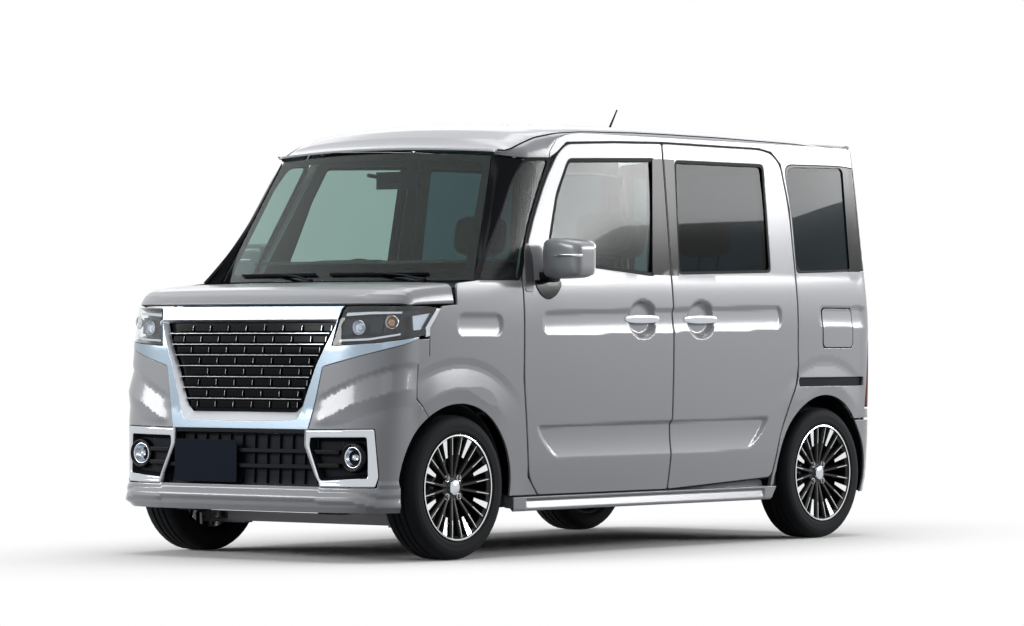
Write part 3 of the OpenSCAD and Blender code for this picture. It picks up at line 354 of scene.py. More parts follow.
def side_relief(y, z):
    """Depth pressed into the side: pockets, the lower scoop, the handle bowls and the arch flares."""
    # pockets below the belt: doors, fender, rear quarter
    top = np.interp(y, [-694, 932], [971, 1003])
    low = np.interp(y, [-694, 932], [872, 897])
    d = pocket(y, z, -700, 940, low, top, 26, 9)
    d = np.maximum(d, pocket(y, z, -1222, -940, 866, 960, 26, 8))
    d = np.maximum(d, pocket(y, z, 1206, 1900, 905, 1003, 26, 8))
    # scoop across both doors, and the tuck below it
    up = np.interp(y, [-723, 851], [517, 532])
    dn = np.interp(y, [-600, 720], [381, 391])
    k = np.clip((up - z) / (up - dn), 0, 1)
    y0, y1 = -725 + 125 * k ** 1.6, 853 - 133 * k ** 1.6
    scoop = 15 * ease((up - z) / 16) * (1 - k ** 2) * ease((y - y0) / 34) * ease((y1 - y) / 34)
    d = d + np.where((z < up) & (z > dn), scoop, 0)
    d = d + 11 * np.clip((dn - 4 - z) / 150, 0, 1) ** 1.3 * ease((y + 880) / 160)
    # bowls behind the handles
    for cy in (FRONT_HANDLE, REAR_HANDLE):
        rho = (np.abs(y - cy) / 104) ** 2 + (np.abs(z - 938) / 84) ** 2
        d = np.maximum(d, 26 * ease(1.6 * (1 - rho)))
    for cy in (FRONT_AXLE, REAR_AXLE):
        d = d - flare(y, z, cy)
    return d


def side_plain(q):
    """The smooth side, from (y, z)."""
    return np.stack([side_x(q[:, 0], q[:, 1]), q[:, 0], q[:, 1]], 1)


def side(q):
    """The side with its relief, from (y, z)."""
    p = side_plain(q)
    p[:, 0] -= side_relief(q[:, 0], q[:, 1])
    p[:, 0] = np.minimum(p[:, 0], HALF_WIDTH)
    return p


# How far the nose and the tail lie within the ends of the body, as (height, distance)
NOSE = [(189, 7.5), (215, 0), (250, 0), (285, 13.5), (300, 17.5), (400, 20.5), (511, 26.5), (582, 35.5), (820, 50.5),
        (929, 63.5), (985, 79.5)]
TAIL = [(189, 30), (250, 5), (300, 0), (450, 0), (512, 6), (560, 14), (900, 20), (1160, 34), (1500, 66), (1620, 84),
        (1700, 104)]


def nose_n(z):
    """Roundness of the nose in plan."""
    return np.interp(z, [550, 929], [4, 2.9])


def bow(phi, n):
    """Rounded plan corner: (1, 0) at the side, (0, 1) at the end."""
    c, s = np.cos(phi), np.sin(phi)
    r = (np.abs(c) ** n + np.abs(s) ** n) ** (-1 / n)
    return r * c, r * s


def girth(a, b, n):
    """Angles round a corner of half width a and length b, and the run up to each."""
    phi = np.linspace(0, math.pi / 2, 400)
    X, Y = bow(phi, n)
    step = np.hypot(np.diff(a * X), np.diff(b * Y))
    return phi, np.concatenate([[0], np.cumsum(step)])


FRONT_PHI, FRONT_RUN = girth(725, 225, 3.4)
FRONT_SIDE = FRONT_RUN[-1]
REAR_ROUND = 5
REAR_PHI, REAR_RUN = girth(735, 142, REAR_ROUND)
REAR_SIDE = REAR_RUN[-1]


def nose_b(z):
    return NOSE_START - FRONT_END - pick(z, NOSE)


def tail_b(z):
    return REAR_END - TAIL_START - pick(z, TAIL)


def front_s(x, z):
    """Run along the front from the middle to half width x at height z."""
    n, a = nose_n(z), side_x(NOSE_START, z)
    X = np.clip(abs(x) / a, 0, 1)
    phi = math.atan2((1 - X ** n) ** (1 / n), X)
    return math.copysign(FRONT_SIDE - np.interp(phi, FRONT_PHI, FRONT_RUN), x)


def front_y(y, z):
    """Run along the front from the middle to station y on the side."""
    if y >= NOSE_START:
        return FRONT_SIDE + y - NOSE_START
    Y = (NOSE_START - y) / nose_b(z)
    n = nose_n(z)
    return FRONT_SIDE - np.interp(math.atan2(Y, (1 - Y ** n) ** (1 / n)), FRONT_PHI, FRONT_RUN)


def front_plain(q):
    """The smooth nose, from (run, z)."""
    s, z = np.abs(q[:, 0]), q[:, 1]
    phi = np.interp(FRONT_SIDE - s, FRONT_RUN, FRONT_PHI)
    X, Y = bow(phi, nose_n(z))
    y = np.where(s < FRONT_SIDE, NOSE_START - nose_b(z) * Y, NOSE_START + s - FRONT_SIDE)
    x = side_x(np.maximum(y, NOSE_START), z) * np.where(s < FRONT_SIDE, X, 1)
    return np.stack([x * np.sign(q[:, 0]), y, z], 1)


def front(q):
    """The painted front cover: cheek crease, wheel flare, the lip's ledges and its flared ends."""
    p = front_plain(q)
    x, y, z = np.abs(p[:, 0]), p[:, 1], p[:, 2]
    crease = np.interp(x, [388, 561, 714], [622, 698, 752])
    drop = crease - z
    bulge = np.interp(drop, [-14, 0, 12, 90, 150],
                      [0, -4, -4, 8,
                       0]) * ease((x - 372) / 70) * ease((NOSE_START + 20 - y) / 90) * ease((z - 515) / 30)
    swell = flare(y, z, FRONT_AXLE) * ease((y - NOSE_START + 40) / 60)
    low = z + 9 * ease((x - 395) / 40) + 22 * ease((x - 560) / 120)
    tuck = pick(low, [(180, 20), (228, 11), (243, 1), (262, 4), (276, 9), (292, 5), (316, 8), (330, 0)])
    p[:, 1] += tuck - bulge * 0.9
    p[:, 0] += np.sign(q[:, 0]) * (swell + bulge * ease((x - 540) / 100) * 0.8 - tuck * ease((x - 560) / 120))
    p[:, 0] = np.clip(p[:, 0], -HALF_WIDTH, HALF_WIDTH)
    skirt = 15 * ease((318 - z) / 40) * ease((x - 470) / 170) * ease((z - 170) / 50)
    p[:, 0] += np.sign(q[:, 0]) * skirt
    p[:, 1] = np.maximum(p[:, 1] - 0.5 * skirt * ease((700 - x) / 60), FRONT_END)
    return p


def rear_s(x, z):
    """Run round the rear corner from the middle to half width x."""
    X = np.clip(abs(x) / side_x(TAIL_START, z), 0, 1)
    return REAR_SIDE - np.interp(math.atan2((1 - X ** REAR_ROUND) ** (1 / REAR_ROUND), X), REAR_PHI, REAR_RUN)


def rear_plain(q):
    """Rear face: the run grows from the middle towards the car's right, as seen from behind."""
    s, z = np.abs(q[:, 0]), q[:, 1]
    phi = np.interp(REAR_SIDE - s, REAR_RUN, REAR_PHI)
    X, Y = bow(phi, REAR_ROUND)
    y = np.where(s < REAR_SIDE, TAIL_START + tail_b(z) * Y, TAIL_START - (s - REAR_SIDE))
    x = side_x(np.minimum(y, TAIL_START), z) * np.where(s < REAR_SIDE, X, 1)
    return np.stack([-x * np.sign(q[:, 0]), y, z], 1)


def quarter(q):
    """Side panel carried round the rear corner: the run is y up to the corner, then along it."""
    p = rear_plain(np.stack([-(REAR_SIDE + TAIL_START - q[:, 0]), q[:, 1]], 1))
    p[:, 0] -= side_relief(p[:, 1], p[:, 2]) * ease((TAIL_START + 60 - p[:, 1]) / 60)
    p[:, 0] = np.minimum(p[:, 0], HALF_WIDTH)
    return p


def bowed(q):
    """Side glass, bowed outwards between belt and rail."""
    p = side_plain(q)
    t = np.clip((q[:, 1] - BELT) / (RAIL - BELT), 0, 1)
    p[:, 0] += 26 * t * (1 - t)
    return p


def quarter_s(x, z):
    """The side panel's run at half width x round the rear corner."""
    return TAIL_START + REAR_SIDE - rear_s(x, z)


# Lower and upper corner of the windscreen
WS_LOW = (669, HINGE_LINE - 237, BELT + 2)
WS_TOP = (556, HINGE_LINE + 13, HEIGHT - 163)


def screen(q):
    """Windscreen, from (u, v) over its width and slope."""
    u, v = q[:, 0] / SCREEN_U, q[:, 1] / SCREEN_V
    k = 1 - u * u
    c = [WS_LOW[i] + (WS_TOP[i] - WS_LOW[i]) * v for i in range(3)]
    return np.stack([u * c[0], c[1] - (121 - 60 * v) * k, c[2] + 18 * v * k], 1)


# How far the roof lies below its crown, as (share of its length, distance)
ROOF_DROP = [(0, 125), (0.02, 98), (0.045, 70), (0.08, 44), (0.13, 22), (0.2, 9), (0.35, 1), (0.45, 0), (0.6, 1),
             (0.85, 9), (1, 30)]


def soft(v, table):
    """A table read with a small blur, so that the surface has no kinks."""
    return sum(pick(np.clip(v + k, 0, 1), table) for k in (-0.015, -0.0075, 0, 0.0075, 0.015)) / 5


def roof(q):
    """Roof, from (u, v) over its width and length."""
    u, v = q[:, 0] / ROOF_U, q[:, 1] / ROOF_V
    k = 1 - u * u
    y0 = WS_TOP[1] - 61 * k
    y = y0 + (ROOF_END - y0) * v
    x = u * (side_x(y, CANT) - 18)
    au = np.abs(u)
    # rolled side edges, the fall to both ends and the ribs, all below the crown
    edge = pick(au, [(0.86, 0), (0.9, 0.8), (0.94, 3), (0.97, 6.5), (1, 16)])
    back = HEIGHT - soft(v, ROOF_DROP) - 8e-5 * x * x - edge
    ribs = np.zeros_like(x)
    for c in (-390, -130, 130, 390):
        ribs += 5 * ease((60 - np.abs(x - c)) / 22) * ease((y + 560) / 90) * ease((1260 - y) / 90)
    lead = WS_TOP[2] + 18 * k + 21
    w = pick(v, [(0, 0), (0.02, 0.4), (0.045, 0.8), (0.08, 1)])
    return np.stack([x, y, lead + (back - ribs - lead) * w], 1)


def hood(q):
    """Bonnet, from (u, v) over its width and length."""
    u, v = q[:, 0] / HOOD_U, q[:, 1] / HOOD_V
    au = np.clip(np.abs(u), 0, 1)
    y0 = NOSE_START - (NOSE_START - FRONT_END - 92) * (1 - au ** 2.9) ** (1 / 2.9)
    y = y0 + (FRONT_AXLE - 26 - y0) * v
    low = 990 + 5 * np.clip((y - FRONT_AXLE + 260) / 240, 0, 1)
    rise = np.interp(v, [0, 0.03, 0.08, 0.16, 0.28, 0.5, 0.75, 1], [0, 20, 42, 60, 72, 80, 86, 88])
    fall = np.interp(au, [0, 0.5, 0.8, 0.9, 0.95, 0.97, 0.985, 0.995], [0, 0.02, 0.06, 0.09, 0.13, 0.2, 0.42, 1])
    return np.stack([u * side_x(np.maximum(y, NOSE_START), 1040), y, low + rise * (1 - fall)], 1)


# ---------------------------------------------------------------- mesh making
def normals(at, q):
    """Outward normals of a surface."""
    da = at(q + [PROBE, 0]) - at(q - [PROBE, 0])
    db = at(q + [0, PROBE]) - at(q - [0, PROBE])
    return unit(np.cross(da, db))


class Build:
    """Collects the surfaces of one piece, in millimetres, and makes one object of them.

    m is the number of a surface's finish, in the order in which the finishes are given.
    """

    def __init__(self, *finishes):
        self.finishes = finishes
        self.v, self.n, self.f, self.m = [], [], [], []
        self.count = 0

    def add(self, v, f, n=None, m=0):
        """Adds points and faces; n gives each point's normal."""
        v = np.asarray(v, float)
        self.v.append(v)
        self.n.append(np.zeros_like(v) if n is None else np.asarray(n, float))
        self.f += [tuple(int(i) + self.count for i in t) for t in f]
        self.m += [m] * len(f)
        self.count += len(v)

    def shell(self, at, outline, holes=(), thick=5.0, lip=EDGE_ROLL, pitch=28.0, zones=(), m=0, m_edge=None,
              m_back=None, depth=0.0, back=True, step=None):
        """A sheet on a surface, with rolled edges: at(q) gives the surface, depth counts inwards.

        m_edge and m_back are the finishes of the edge and the back, where they differ from the face's.
        """
        step = step or min(pitch, EDGE_STEP)
        loops = [dense(ccw(outline), step)] + [dense(ccw(h), step)[::-1] for h in holes]
        ins = [offset(l, lip) for l in loops]
        v2, tri = fill(ins, pitch, zones)
        p, n = at(v2), normals(at, v2)
        self.add(p - n * depth, tri, n, m)
        edge = m if m_edge is None else m_edge
        for l, i in zip(loops, ins):
            k = len(l)
            ni = normals(at, i)
            pi, pl = at(i), at(l)
            t = unit(pl - pi - ni * ((pl - pi) * ni).sum(1, keepdims=True))
            mid = at(offset(l, 0.3 * lip))
            rings = [(pi, 0, ni), (mid, 0.3 * lip, unit(ni + t)), (pl, lip, t), (pl, thick, t)]
            v = np.concatenate([r[0] - ni * (depth + r[1]) for r in rings])
            nn = np.concatenate([r[2] for r in rings])
            f = [(b * k + j + k, b * k + (j + 1) % k + k, b * k + (j + 1) % k,
                  b * k + j) for b in range(3) for j in range(k)]
            self.add(v, f, nn, edge)
        if back:
            mb = m if m_back is None else m_back
            b = p - n * (depth + thick)
            self.add(b, tri[:, ::-1], -n, mb)
            for l, i in zip(loops, ins):
                k = len(l)
                ni = normals(at, i)
                v = np.concatenate([at(l) - ni * (depth + thick), at(i) - ni * (depth + thick)])
                self.add(v, [(j, k + j, k + (j + 1) % k, (j + 1) % k) for j in range(k)], np.concatenate([-ni, -ni]),
                         mb)

    def ribbon(self, at, a, da, b, db, m=0, steps=1):
        """A ruled strip between two matching loops on a surface at depths da and db."""
        a, b = np.asarray(a, float), np.asarray(b, float)
        k = len(a)
        rows = []
        for t in np.linspace(0, 1, steps + 1):
            q = a + (b - a) * t
            rows.append(at(q) - normals(at, q) * (da + (db - da) * t))
        self.grid(rows, m, True)

    def grid(self, rows, m=0, closed=False):
        """Quads over rows of points; closed joins the ends of each row."""
        rows = np.asarray(rows, float)
        r, k = rows.shape[:2]
        last = k if closed else k - 1
        f = [(i * k + j, i * k + (j + 1) % k, (i + 1) * k + (j + 1) % k,
              (i + 1) * k + j) for i in range(r - 1) for j in range(last)]
        self.add(rows.reshape(-1, 3), f, None, m)

    def lathe(self, profile, centre, axis=(1, 0, 0), sides=64, m=0):
        """Turns (radius, along) points about an axis."""
        a = unit(np.array(axis, float))
        u = unit(np.cross(a, [0, 0, 1] if abs(a[2]) < 0.9 else [0, 1, 0]))
        w = np.cross(a, u)
        ang = np.radians(np.linspace(0, 360, sides, endpoint=False))
        rows = [np.array(centre) + r * (np.outer(np.cos(ang), u) + np.outer(np.sin(ang), w)) + h * a for r,
                h in profile]
        self.grid(rows, m, True)

    def tube(self, path, r, sides=12, m=0, flat=1.0, up=(0, 0, 1)):
        """A round or flattened bar along a path; r may be a list of radii."""
        path = np.asarray(path, float)
        rr = np.broadcast_to(np.asarray(r, float), len(path))
        d = unit(np.gradient(path, axis=0))
        side_v = unit(np.cross(d, np.broadcast_to(np.array(up, float), d.shape)))
        top = np.cross(side_v, d)
        ang = np.linspace(0, 2 * math.pi, sides, endpoint=False)
        rows = [p + k * (np.outer(np.cos(ang), s) + flat * np.outer(np.sin(ang), t)) for p, k, s,
                t in zip(path, rr, side_v, top)]
        at = self.count
        self.grid(rows, m, True)
        first = tuple(at + j for j in range(sides))
        self.f += [first[::-1], tuple(j + (len(path) - 1) * sides for j in first)]
        self.m += [m, m]

    def pad(self, lo, hi, m=0, n=4, power=6.0, bulge=None):
        """A rounded block: a superellipsoid of the given power between two corners."""
        lo, hi = np.array(lo, float), np.array(hi, float)
        k = 6 * n
        axis = np.tan(np.linspace(-1, 1, k + 1) * math.pi / 4)
        for d in range(3):
            for s in (-1, 1):
                A, B = np.meshgrid(axis, axis, indexing="ij")
                c = np.full_like(A, float(s))
                p = np.stack([c, A, B] if d == 0 else [B, c, A] if d == 1 else [A, B, c], -1)
                p = p / (np.abs(p) ** power).sum(-1, keepdims=True) ** (1 / power)
                q = (lo + hi) / 2 + p * (hi - lo) / 2
                if bulge is not None:
                    q = bulge(q, p)
                self.grid(q if s > 0 else q[:, ::-1], m)

    def make(self, name, body, replaces=(), slot=None, flip=False, sharp=38.0):
        """Makes the object, mirrored if flip is set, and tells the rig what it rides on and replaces."""
        v, n = np.concatenate(self.v), np.concatenate(self.n)
        f = self.f
        if flip:
            v, n = v * [-1, 1, 1], n * [-1, 1, 1]
            f = [t[::-1] for t in f]
        mesh = bpy.data.meshes.new(name)
        mesh.from_pydata((v * 0.001).tolist(), [], f)
        mesh.polygons.foreach_set("material_index", self.m)
        mesh.polygons.foreach_set("use_smooth", [True] * len(f))
        for k in self.finishes:
            mesh.materials.append(FINISHES[k]())
        mesh.update()
        mesh.set_sharp_from_angle(angle=math.radians(sharp))
        if np.abs(n).sum() > 0:
            mesh.normals_split_custom_set_from_vertices(n.tolist())
        obj = add_object(name, mesh)
        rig.ride(obj, body)
        if replaces:
            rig.replaces(obj, *replaces)
        if slot:
            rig.slot(obj, slot)
        return obj


# ---------------------------------------------------------------- finishes
def settings():
    return bpy.context.scene.light_wagon


def node(tree, kind, **values):
    """Adds a shader node and sets its sockets; an underscore in a key stands for a space."""
    n = tree.nodes.new("ShaderNode" + kind)
    for key, value in values.items():
        n.inputs[key.replace("_", " ")].default_value = value
    return n


def finish(name, colour, metallic=0.0, rough=0.5, coat=0.0, grain=0.0, scale=700.0, vary=0.06, spec=0.5, sheen=0.0,
           clear=0.0, ior=1.45, weave=0.0, coat_rough=0.03):
    """A Principled finish whose colour, roughness and relief come from fine noise."""
    mat = bpy.data.materials.get(name)
    if mat:
        return mat
    mat = bpy.data.materials.new(name)
    mat.use_nodes = True
    t = mat.node_tree
    link = t.links.new
    b = t.nodes["Principled BSDF"]
    c = np.array(list(colour)[:3])
    where = node(t, "TexCoord")
    noise = node(t, "TexNoise", Scale=scale, Detail=3)
    link(where.outputs["Object"], noise.inputs["Vector"])
    mix = t.nodes.new("ShaderNodeMix")
    mix.data_type = "RGBA"
    mix.inputs["A"].default_value = (*np.clip(c * (1 - vary), 0, 1), 1)
    mix.inputs["B"].default_value = (*np.clip(c * (1 + vary), 0, 1), 1)
    link(noise.outputs["Fac"], mix.inputs["Factor"])
    link(mix.outputs["Result"], b.inputs["Base Color"])
    span = node(t, "MapRange", To_Min=rough * 0.9, To_Max=min(rough * 1.1, 1))
    link(noise.outputs["Fac"], span.inputs["Value"])
    link(span.outputs["Result"], b.inputs["Roughness"])
    for socket, value in (("Metallic", metallic), ("Coat Weight", coat), ("Coat Roughness", coat_rough),
                          ("Specular IOR Level", spec), ("IOR", ior), ("Sheen Weight", sheen),
                          ("Transmission Weight", clear)):
        b.inputs[socket].default_value = value
    if grain or weave:
        bump = node(t, "Bump", Strength=max(grain, weave), Distance=0.0006)
        height = noise
        if weave:
            height = node(t, "TexWave", Scale=420, Distortion=2.5)
            height.bands_direction = "DIAGONAL"
            link(where.outputs["Object"], height.inputs["Vector"])
        link(height.outputs["Fac"], bump.inputs["Height"])
        link(bump.outputs["Normal"], b.inputs["Normal"])
    return mat


FINISHES = {
    "paint": lambda: finish("Silver metallic paint", settings().paint, metallic=0.08, rough=0.4, coat=0.9,
                            coat_rough=0.14, spec=0.15, scale=2600, vary=0.05),
    "chrome": lambda: finish("Satin bright plating", settings().plating, metallic=1, rough=0.2, scale=300, vary=0.02),
    "bright": lambda: finish("Bright plating", (0.56, 0.59, 0.63), metallic=1, rough=0.12, scale=300, vary=0.01),
    "gloss": lambda: finish("Gloss black", (0.008, 0.008, 0.010), rough=0.14, spec=0.18, scale=500),
    "black": lambda: finish("Moulded black plastic", (0.008, 0.010, 0.014), rough=0.5, spec=0.1, grain=0.2,
                            scale=1400),
    "rubber": lambda: finish("Window rubber", (0.005, 0.005, 0.006), rough=0.45, spec=0.08, scale=900, grain=0.05),
    "trim": lambda: finish("Grey cabin trim", settings().cabin, rough=0.6, grain=0.1, scale=500),
    "lining": lambda: finish("Grey headlining", (0.10, 0.10, 0.10), rough=0.9, grain=0.05, scale=500),
    "pearl": lambda: finish("Satin pale plating", (0.72, 0.75, 0.79), metallic=0.7, rough=0.38, scale=300, vary=0.02),
    "piano": lambda: finish("Deep gloss black", (0.003, 0.004, 0.006), rough=0.14, spec=0.08, scale=500),
    "screen": lambda: finish("Windscreen glass", settings().glass, rough=0.001, clear=1, ior=1.33, scale=2,
                             vary=0.01),
    "cloth": lambda: finish("Woven cloth", settings().cloth, rough=0.85, sheen=0.4, weave=0.5, scale=300, vary=0.2),
    "glass": lambda: finish("Green safety glass", [v * 0.55 for v in settings().glass], rough=0.0, clear=1, coat=0.4,
                            coat_rough=0.16, ior=1.12, scale=2, vary=0.01),
    "privacy": lambda: finish("Dark privacy glass", settings().privacy, rough=0.0, clear=1, coat=0.4, coat_rough=0.16,
                              ior=1.12, scale=2, vary=0.02),
    "smoke": lambda: finish("Smoked rear glass", [v * 0.5 for v in settings().privacy], rough=0.0, clear=1, coat=0.08,
                            coat_rough=0.12, ior=1.14, scale=2, vary=0.02),
    "lens": lambda: finish("Clear lamp lens", (0.96, 0.98, 1.0), rough=0.003, clear=1, ior=1.4, scale=2, vary=0.005),
    "reflector": lambda: finish("Lamp reflector", (0.5, 0.55, 0.62), metallic=1, rough=0.16, scale=60, vary=0.08),
    "bowl": lambda: finish("Lamp housing", (0.010, 0.016, 0.026), metallic=0.3, rough=0.22, spec=0.3, scale=60),
    "amber": lambda: finish("Amber lens", (0.8, 0.28, 0.03), rough=0.1, clear=0.4, scale=90),
    "red": lambda: finish("Red lamp lens", (0.42, 0.006, 0.01), rough=0.08, coat=1, scale=90, vary=0.12),
    "tyre": lambda: finish("Tyre rubber", (0.010, 0.011, 0.013), rough=0.7, spec=0.15, grain=0.35, scale=420,
                           vary=0.15),
    "machined": lambda: finish("Machined alloy", (0.80, 0.81, 0.82), metallic=1, rough=0.16, scale=900, grain=0.04),
    "dark_alloy": lambda: finish("Black alloy", (0.008, 0.008, 0.009), rough=0.3, coat=0.15, spec=0.3, scale=400),
    # painted shade: this dark grey stands for the shade that falls on the body-coloured sail at the mirror's foot
    "satin": lambda: finish("Dark grey satin moulding", (0.12, 0.12, 0.125), metallic=0.5, rough=0.35, scale=900),
    "steel": lambda: finish("Cast steel", (0.16, 0.16, 0.17), metallic=0.8, rough=0.5, grain=0.2, scale=240,
                            vary=0.15),
    "disc": lambda: finish("Brake disc", (0.42, 0.42, 0.43), metallic=1, rough=0.3, scale=160),
    "under": lambda: finish("Underbody coating", (0.03, 0.03, 0.032), rough=0.7, grain=0.4, scale=260, vary=0.2),
    "plate": lambda: finish("Dark blue plate", (0.003, 0.008, 0.018), rough=0.4, spec=0.08, scale=500, vary=0.1),
    "mirror": lambda: finish("Mirror glass", (0.85, 0.87, 0.88), metallic=1, rough=0.01, scale=3, vary=0.01),
}


# ---------------------------------------------------------------- outlines, (y, z) on the sides and (x, z) on the ends
FA, RA, HY, BY, SY, FE, RE = FRONT_AXLE, REAR_AXLE, HINGE_LINE, DOOR_SPLIT, SLIDE_END, FRONT_END, REAR_END
DOOR_LINE = [(HY, BELT), (HY, 705), (HY + 51, 313), (HY + 124, SILL), (BY - 3.5, SILL), (BY - 3.5, RAIL + 0.5),
             (FA + 1049, RAIL - 7), (FA + 754, RAIL - 20), (FA + 700, RAIL - 60),
             (FA + 615, BELT + 410), (FA + 517, BELT + 252), (FA + 427, BELT + 95)]
SLIDE_LINE = [(BY + 3.5, SILL), (SY - 155, SILL + 33), (SY - 116, 451), (SY - 59, 577), (SY + 7, 692), (SY, 807),
              (SY + 1, BELT + 57), (SY - 9, BELT + 327), (SY - 51, RAIL - 61),
              (SY - 110, RAIL - 14), (SY - 196, RAIL - 1), (BY + 3.5, RAIL + 1)]
DOOR_WIN = [(FA + 574, BELT + 97), (FA + 1245, BELT + 46), (FA + 1299, RAIL - 76), (FA + 763, RAIL - 93),
            (FA + 677, BELT + 351)]
SLIDE_WIN = [(BY + 63, BELT + 53), (SY - 184, BELT + 68), (SY - 184, RAIL - 75), (BY + 90, RAIL - 77)]
REAR_WIN = [(RA - 192, BELT + 65), (RA + 225, BELT + 77), (RA + 225, RAIL - 75), (RA + 205, RAIL - 61),
            (RA - 220, RAIL - 70)]
QUARTER_WIN = [(FA + 127, BELT + 9), (FA + 366, BELT + 11), (FA + 393, BELT + 50), (FA + 458, BELT + 191),
               (FA + 560, BELT + 361), (FA + 640, RAIL - 89), (FA + 514, RAIL - 94),
               (FA + 434, RAIL - 174), (FA + 330, BELT + 248)]
LID_LINE = [(RA - 15, 835), (RA - 2, 822), (RA + 205, 822), (RA + 218, 835), (RA + 218, 975), (RA + 205, 988),
            (RA - 2, 988), (RA - 15, 975)]
SURROUND_OUT = [(0, 984), (484, 984), (472, 973), (444, 830), (632, 841), (716, 865), (716, 857), (620, 806),
                (408, 752), (385, 630), (356, 509.5), (0, 509.5)]
SURROUND_IN = [(0, 925), (452, 925), (364, 752), (313, 627), (300, 598), (272, 577), (0, 577)]
SURROUND_MID = [(0, 932), (463, 932), (377, 752), (332, 627), (322, 590), (298, 545), (0, 537)]
LOW_OPEN = [(0, 493), (344.5, 493), (344.5, 450), (420, 292), (0, 292)]
BEZEL_OUT = [(345, 509), (645, 513), (657, 331), (647, 290), (422, 290), (345, 450)]
BEZEL_IN = [(368, 477), (617, 480), (622, 327), (421, 316), (366, 444)]
FOG_AT = (558, 404)
LAMP_DEPTH, FOG_DEPTH, GRILLE_DEPTH = 42, 34, 33
GATE_LINE = [(0, 520), (552, 520), (552, 880), (640, 905), (640, 1150), (630, RAIL - 60), (622, 1654), (400, 1673),
             (200, 1682.5), (0, 1685.7)]
GATE_WIN = [(0, BELT + 82), (596, BELT + 82), (570, RAIL - 70), (0, RAIL - 70)]
LAMP_LINE = [(558, 560), (705, 560), (705, 860), (558, 880)]
# Areas of the side with fine relief, as (lowest y, highest y, lowest z, highest z, mesh step)
POCKETS = [(-712, 950, 850, 1028, 9), (-1232, -940, 858, 968, 9), (1200, 1700, 895, 1012, 10),
           (-735, 862, 376, 540, 10)]


def grown(p, d):
    """The outline, counter-clockwise and larger by d all round."""
    return offset(ccw(p), -d)


def oblong(u, v0, v1):
    """An outline from -u to u and from v0 to v1."""
    return [(-u, v0), (u, v0), (u, v1), (-u, v1)]


def on_front(p):
    """Front outline points (x, z) as runs along the front face."""
    return [(front_s(x, z), z) for x, z in p]


def on_cheek(p):
    """Side outline points (y, z) as runs round the nose."""
    return [(front_y(y, z), z) for y, z in p]


def on_rear(p):
    """Rear outline points (x, z) as runs along the rear face."""
    return [(math.copysign(rear_s(x, z), x), z) for x, z in p]


def paired(p, q, step):
    """Points along two outlines of equal corner count, matched one to one."""
    a, b = [], []
    for p0, p1, q0, q1 in zip(p, np.roll(p, -1, 0), q, np.roll(q, -1, 0)):
        n = max(1, math.ceil(np.linalg.norm(p1 - p0) / step))
        for k in range(n):
            a.append(p0 + (p1 - p0) * k / n)
            b.append(q0 + (q1 - q0) * k / n)
    return np.array(a), np.array(b)


def arch(cy, r, a0, a1):
    """Points (y, z) round the axle at station cy, from angle a0 to a1."""
    turns = [math.radians(a) for a in np.linspace(a0, a1, 40)]
    return [(cy + r * math.cos(a), AXLE_Z + r * math.sin(a)) for a in turns]


# ---------------------------------------------------------------- sides
DOOR_EDGE = rounded(DOOR_LINE, [20, 60, 60, 14, 10, 16, 200, 60, 60, 200, 200, 120], 6)
SLIDE_EDGE = rounded(SLIDE_LINE, [14, 30, 80, 120, 80, 120, 200, 200, 90, 80, 60, 12], 6)
DOOR_POST = [(BY - 128, BELT + 38), (BY - 6, BELT + 35), (BY - 6, RAIL - 63), (BY - 74, RAIL - 65)]
SLIDE_POST = [(BY + 6, BELT + 35), (BY + 52, BELT + 36), (BY + 76, RAIL - 63), (BY + 6, RAIL - 63)]


def mm(length):
    """A length of the settings, which are in metres, in millimetres."""
    return round(length * 1000, 3)


def side_door(edge, window, frame_width, post):
    """The skin of a side door, the rubber round its window and the gloss post beside it."""
    b = Build("paint", "rubber", "trim", "gloss")
    cut = rounded(grown(window, frame_width), 26)
    b.shell(side, edge, [cut], mm(settings().door), 3.0, 26, POCKETS[:1] + POCKETS[3:], 0, 0, 2)
    b.shell(side_plain, cut, [rounded(window, 18)], 34, 1.5, 30, (), 1, depth=1.2, step=20)
    b.shell(side_plain, rounded(post, 5), (), 2.2, 0.8, 40, (), 3, depth=-1.2, step=25)
    return b


def pane(b, at, outline, pitch, depth, step=EDGE_STEP):
    """A sheet of glass that lies behind the body's surface."""
    b.shell(at, outline, (), mm(settings().pane), 0.8, pitch, (), depth=depth, step=step)


def gap_band(b, outline, lo=0.6, hi=6.4, depth=6.0):
    """A dark seal that lies in the gap round a panel of the side."""
    o = dense(ccw(outline), EDGE_STEP)
    b.ribbon(side, offset(o, -lo), depth, offset(o, -hi), depth)


def make_doors():
    for s, tag in SIDES:
        b = side_door(DOOR_EDGE, DOOR_WIN, 14, DOOR_POST)
        b.make("door_panel_" + tag, "door_" + tag, ("door_" + tag,), "paint", s)
        g = Build("glass")
        pane(g, bowed, rounded(grown(DOOR_WIN, 4), 20), 40, 13, 24)
        g.make("door_window_" + tag, "door_" + tag, ("door_glass_" + tag,), "clear_glass", s)


def make_slides():
    """The sliding doors' skins, and the seals in the gaps round both side doors."""
    for s, tag in SIDES:
        b = side_door(SLIDE_EDGE, SLIDE_WIN, 12, SLIDE_POST)
        b.make("sliding_door_" + tag, "body", ("sliding_doors",) if not s else (), "paint", s)
        g = Build("rubber")
        gap_band(g, DOOR_EDGE)
        gap_band(g, SLIDE_EDGE)
        g.make("door_seals_" + tag, "body", (), "black_plastic", s)


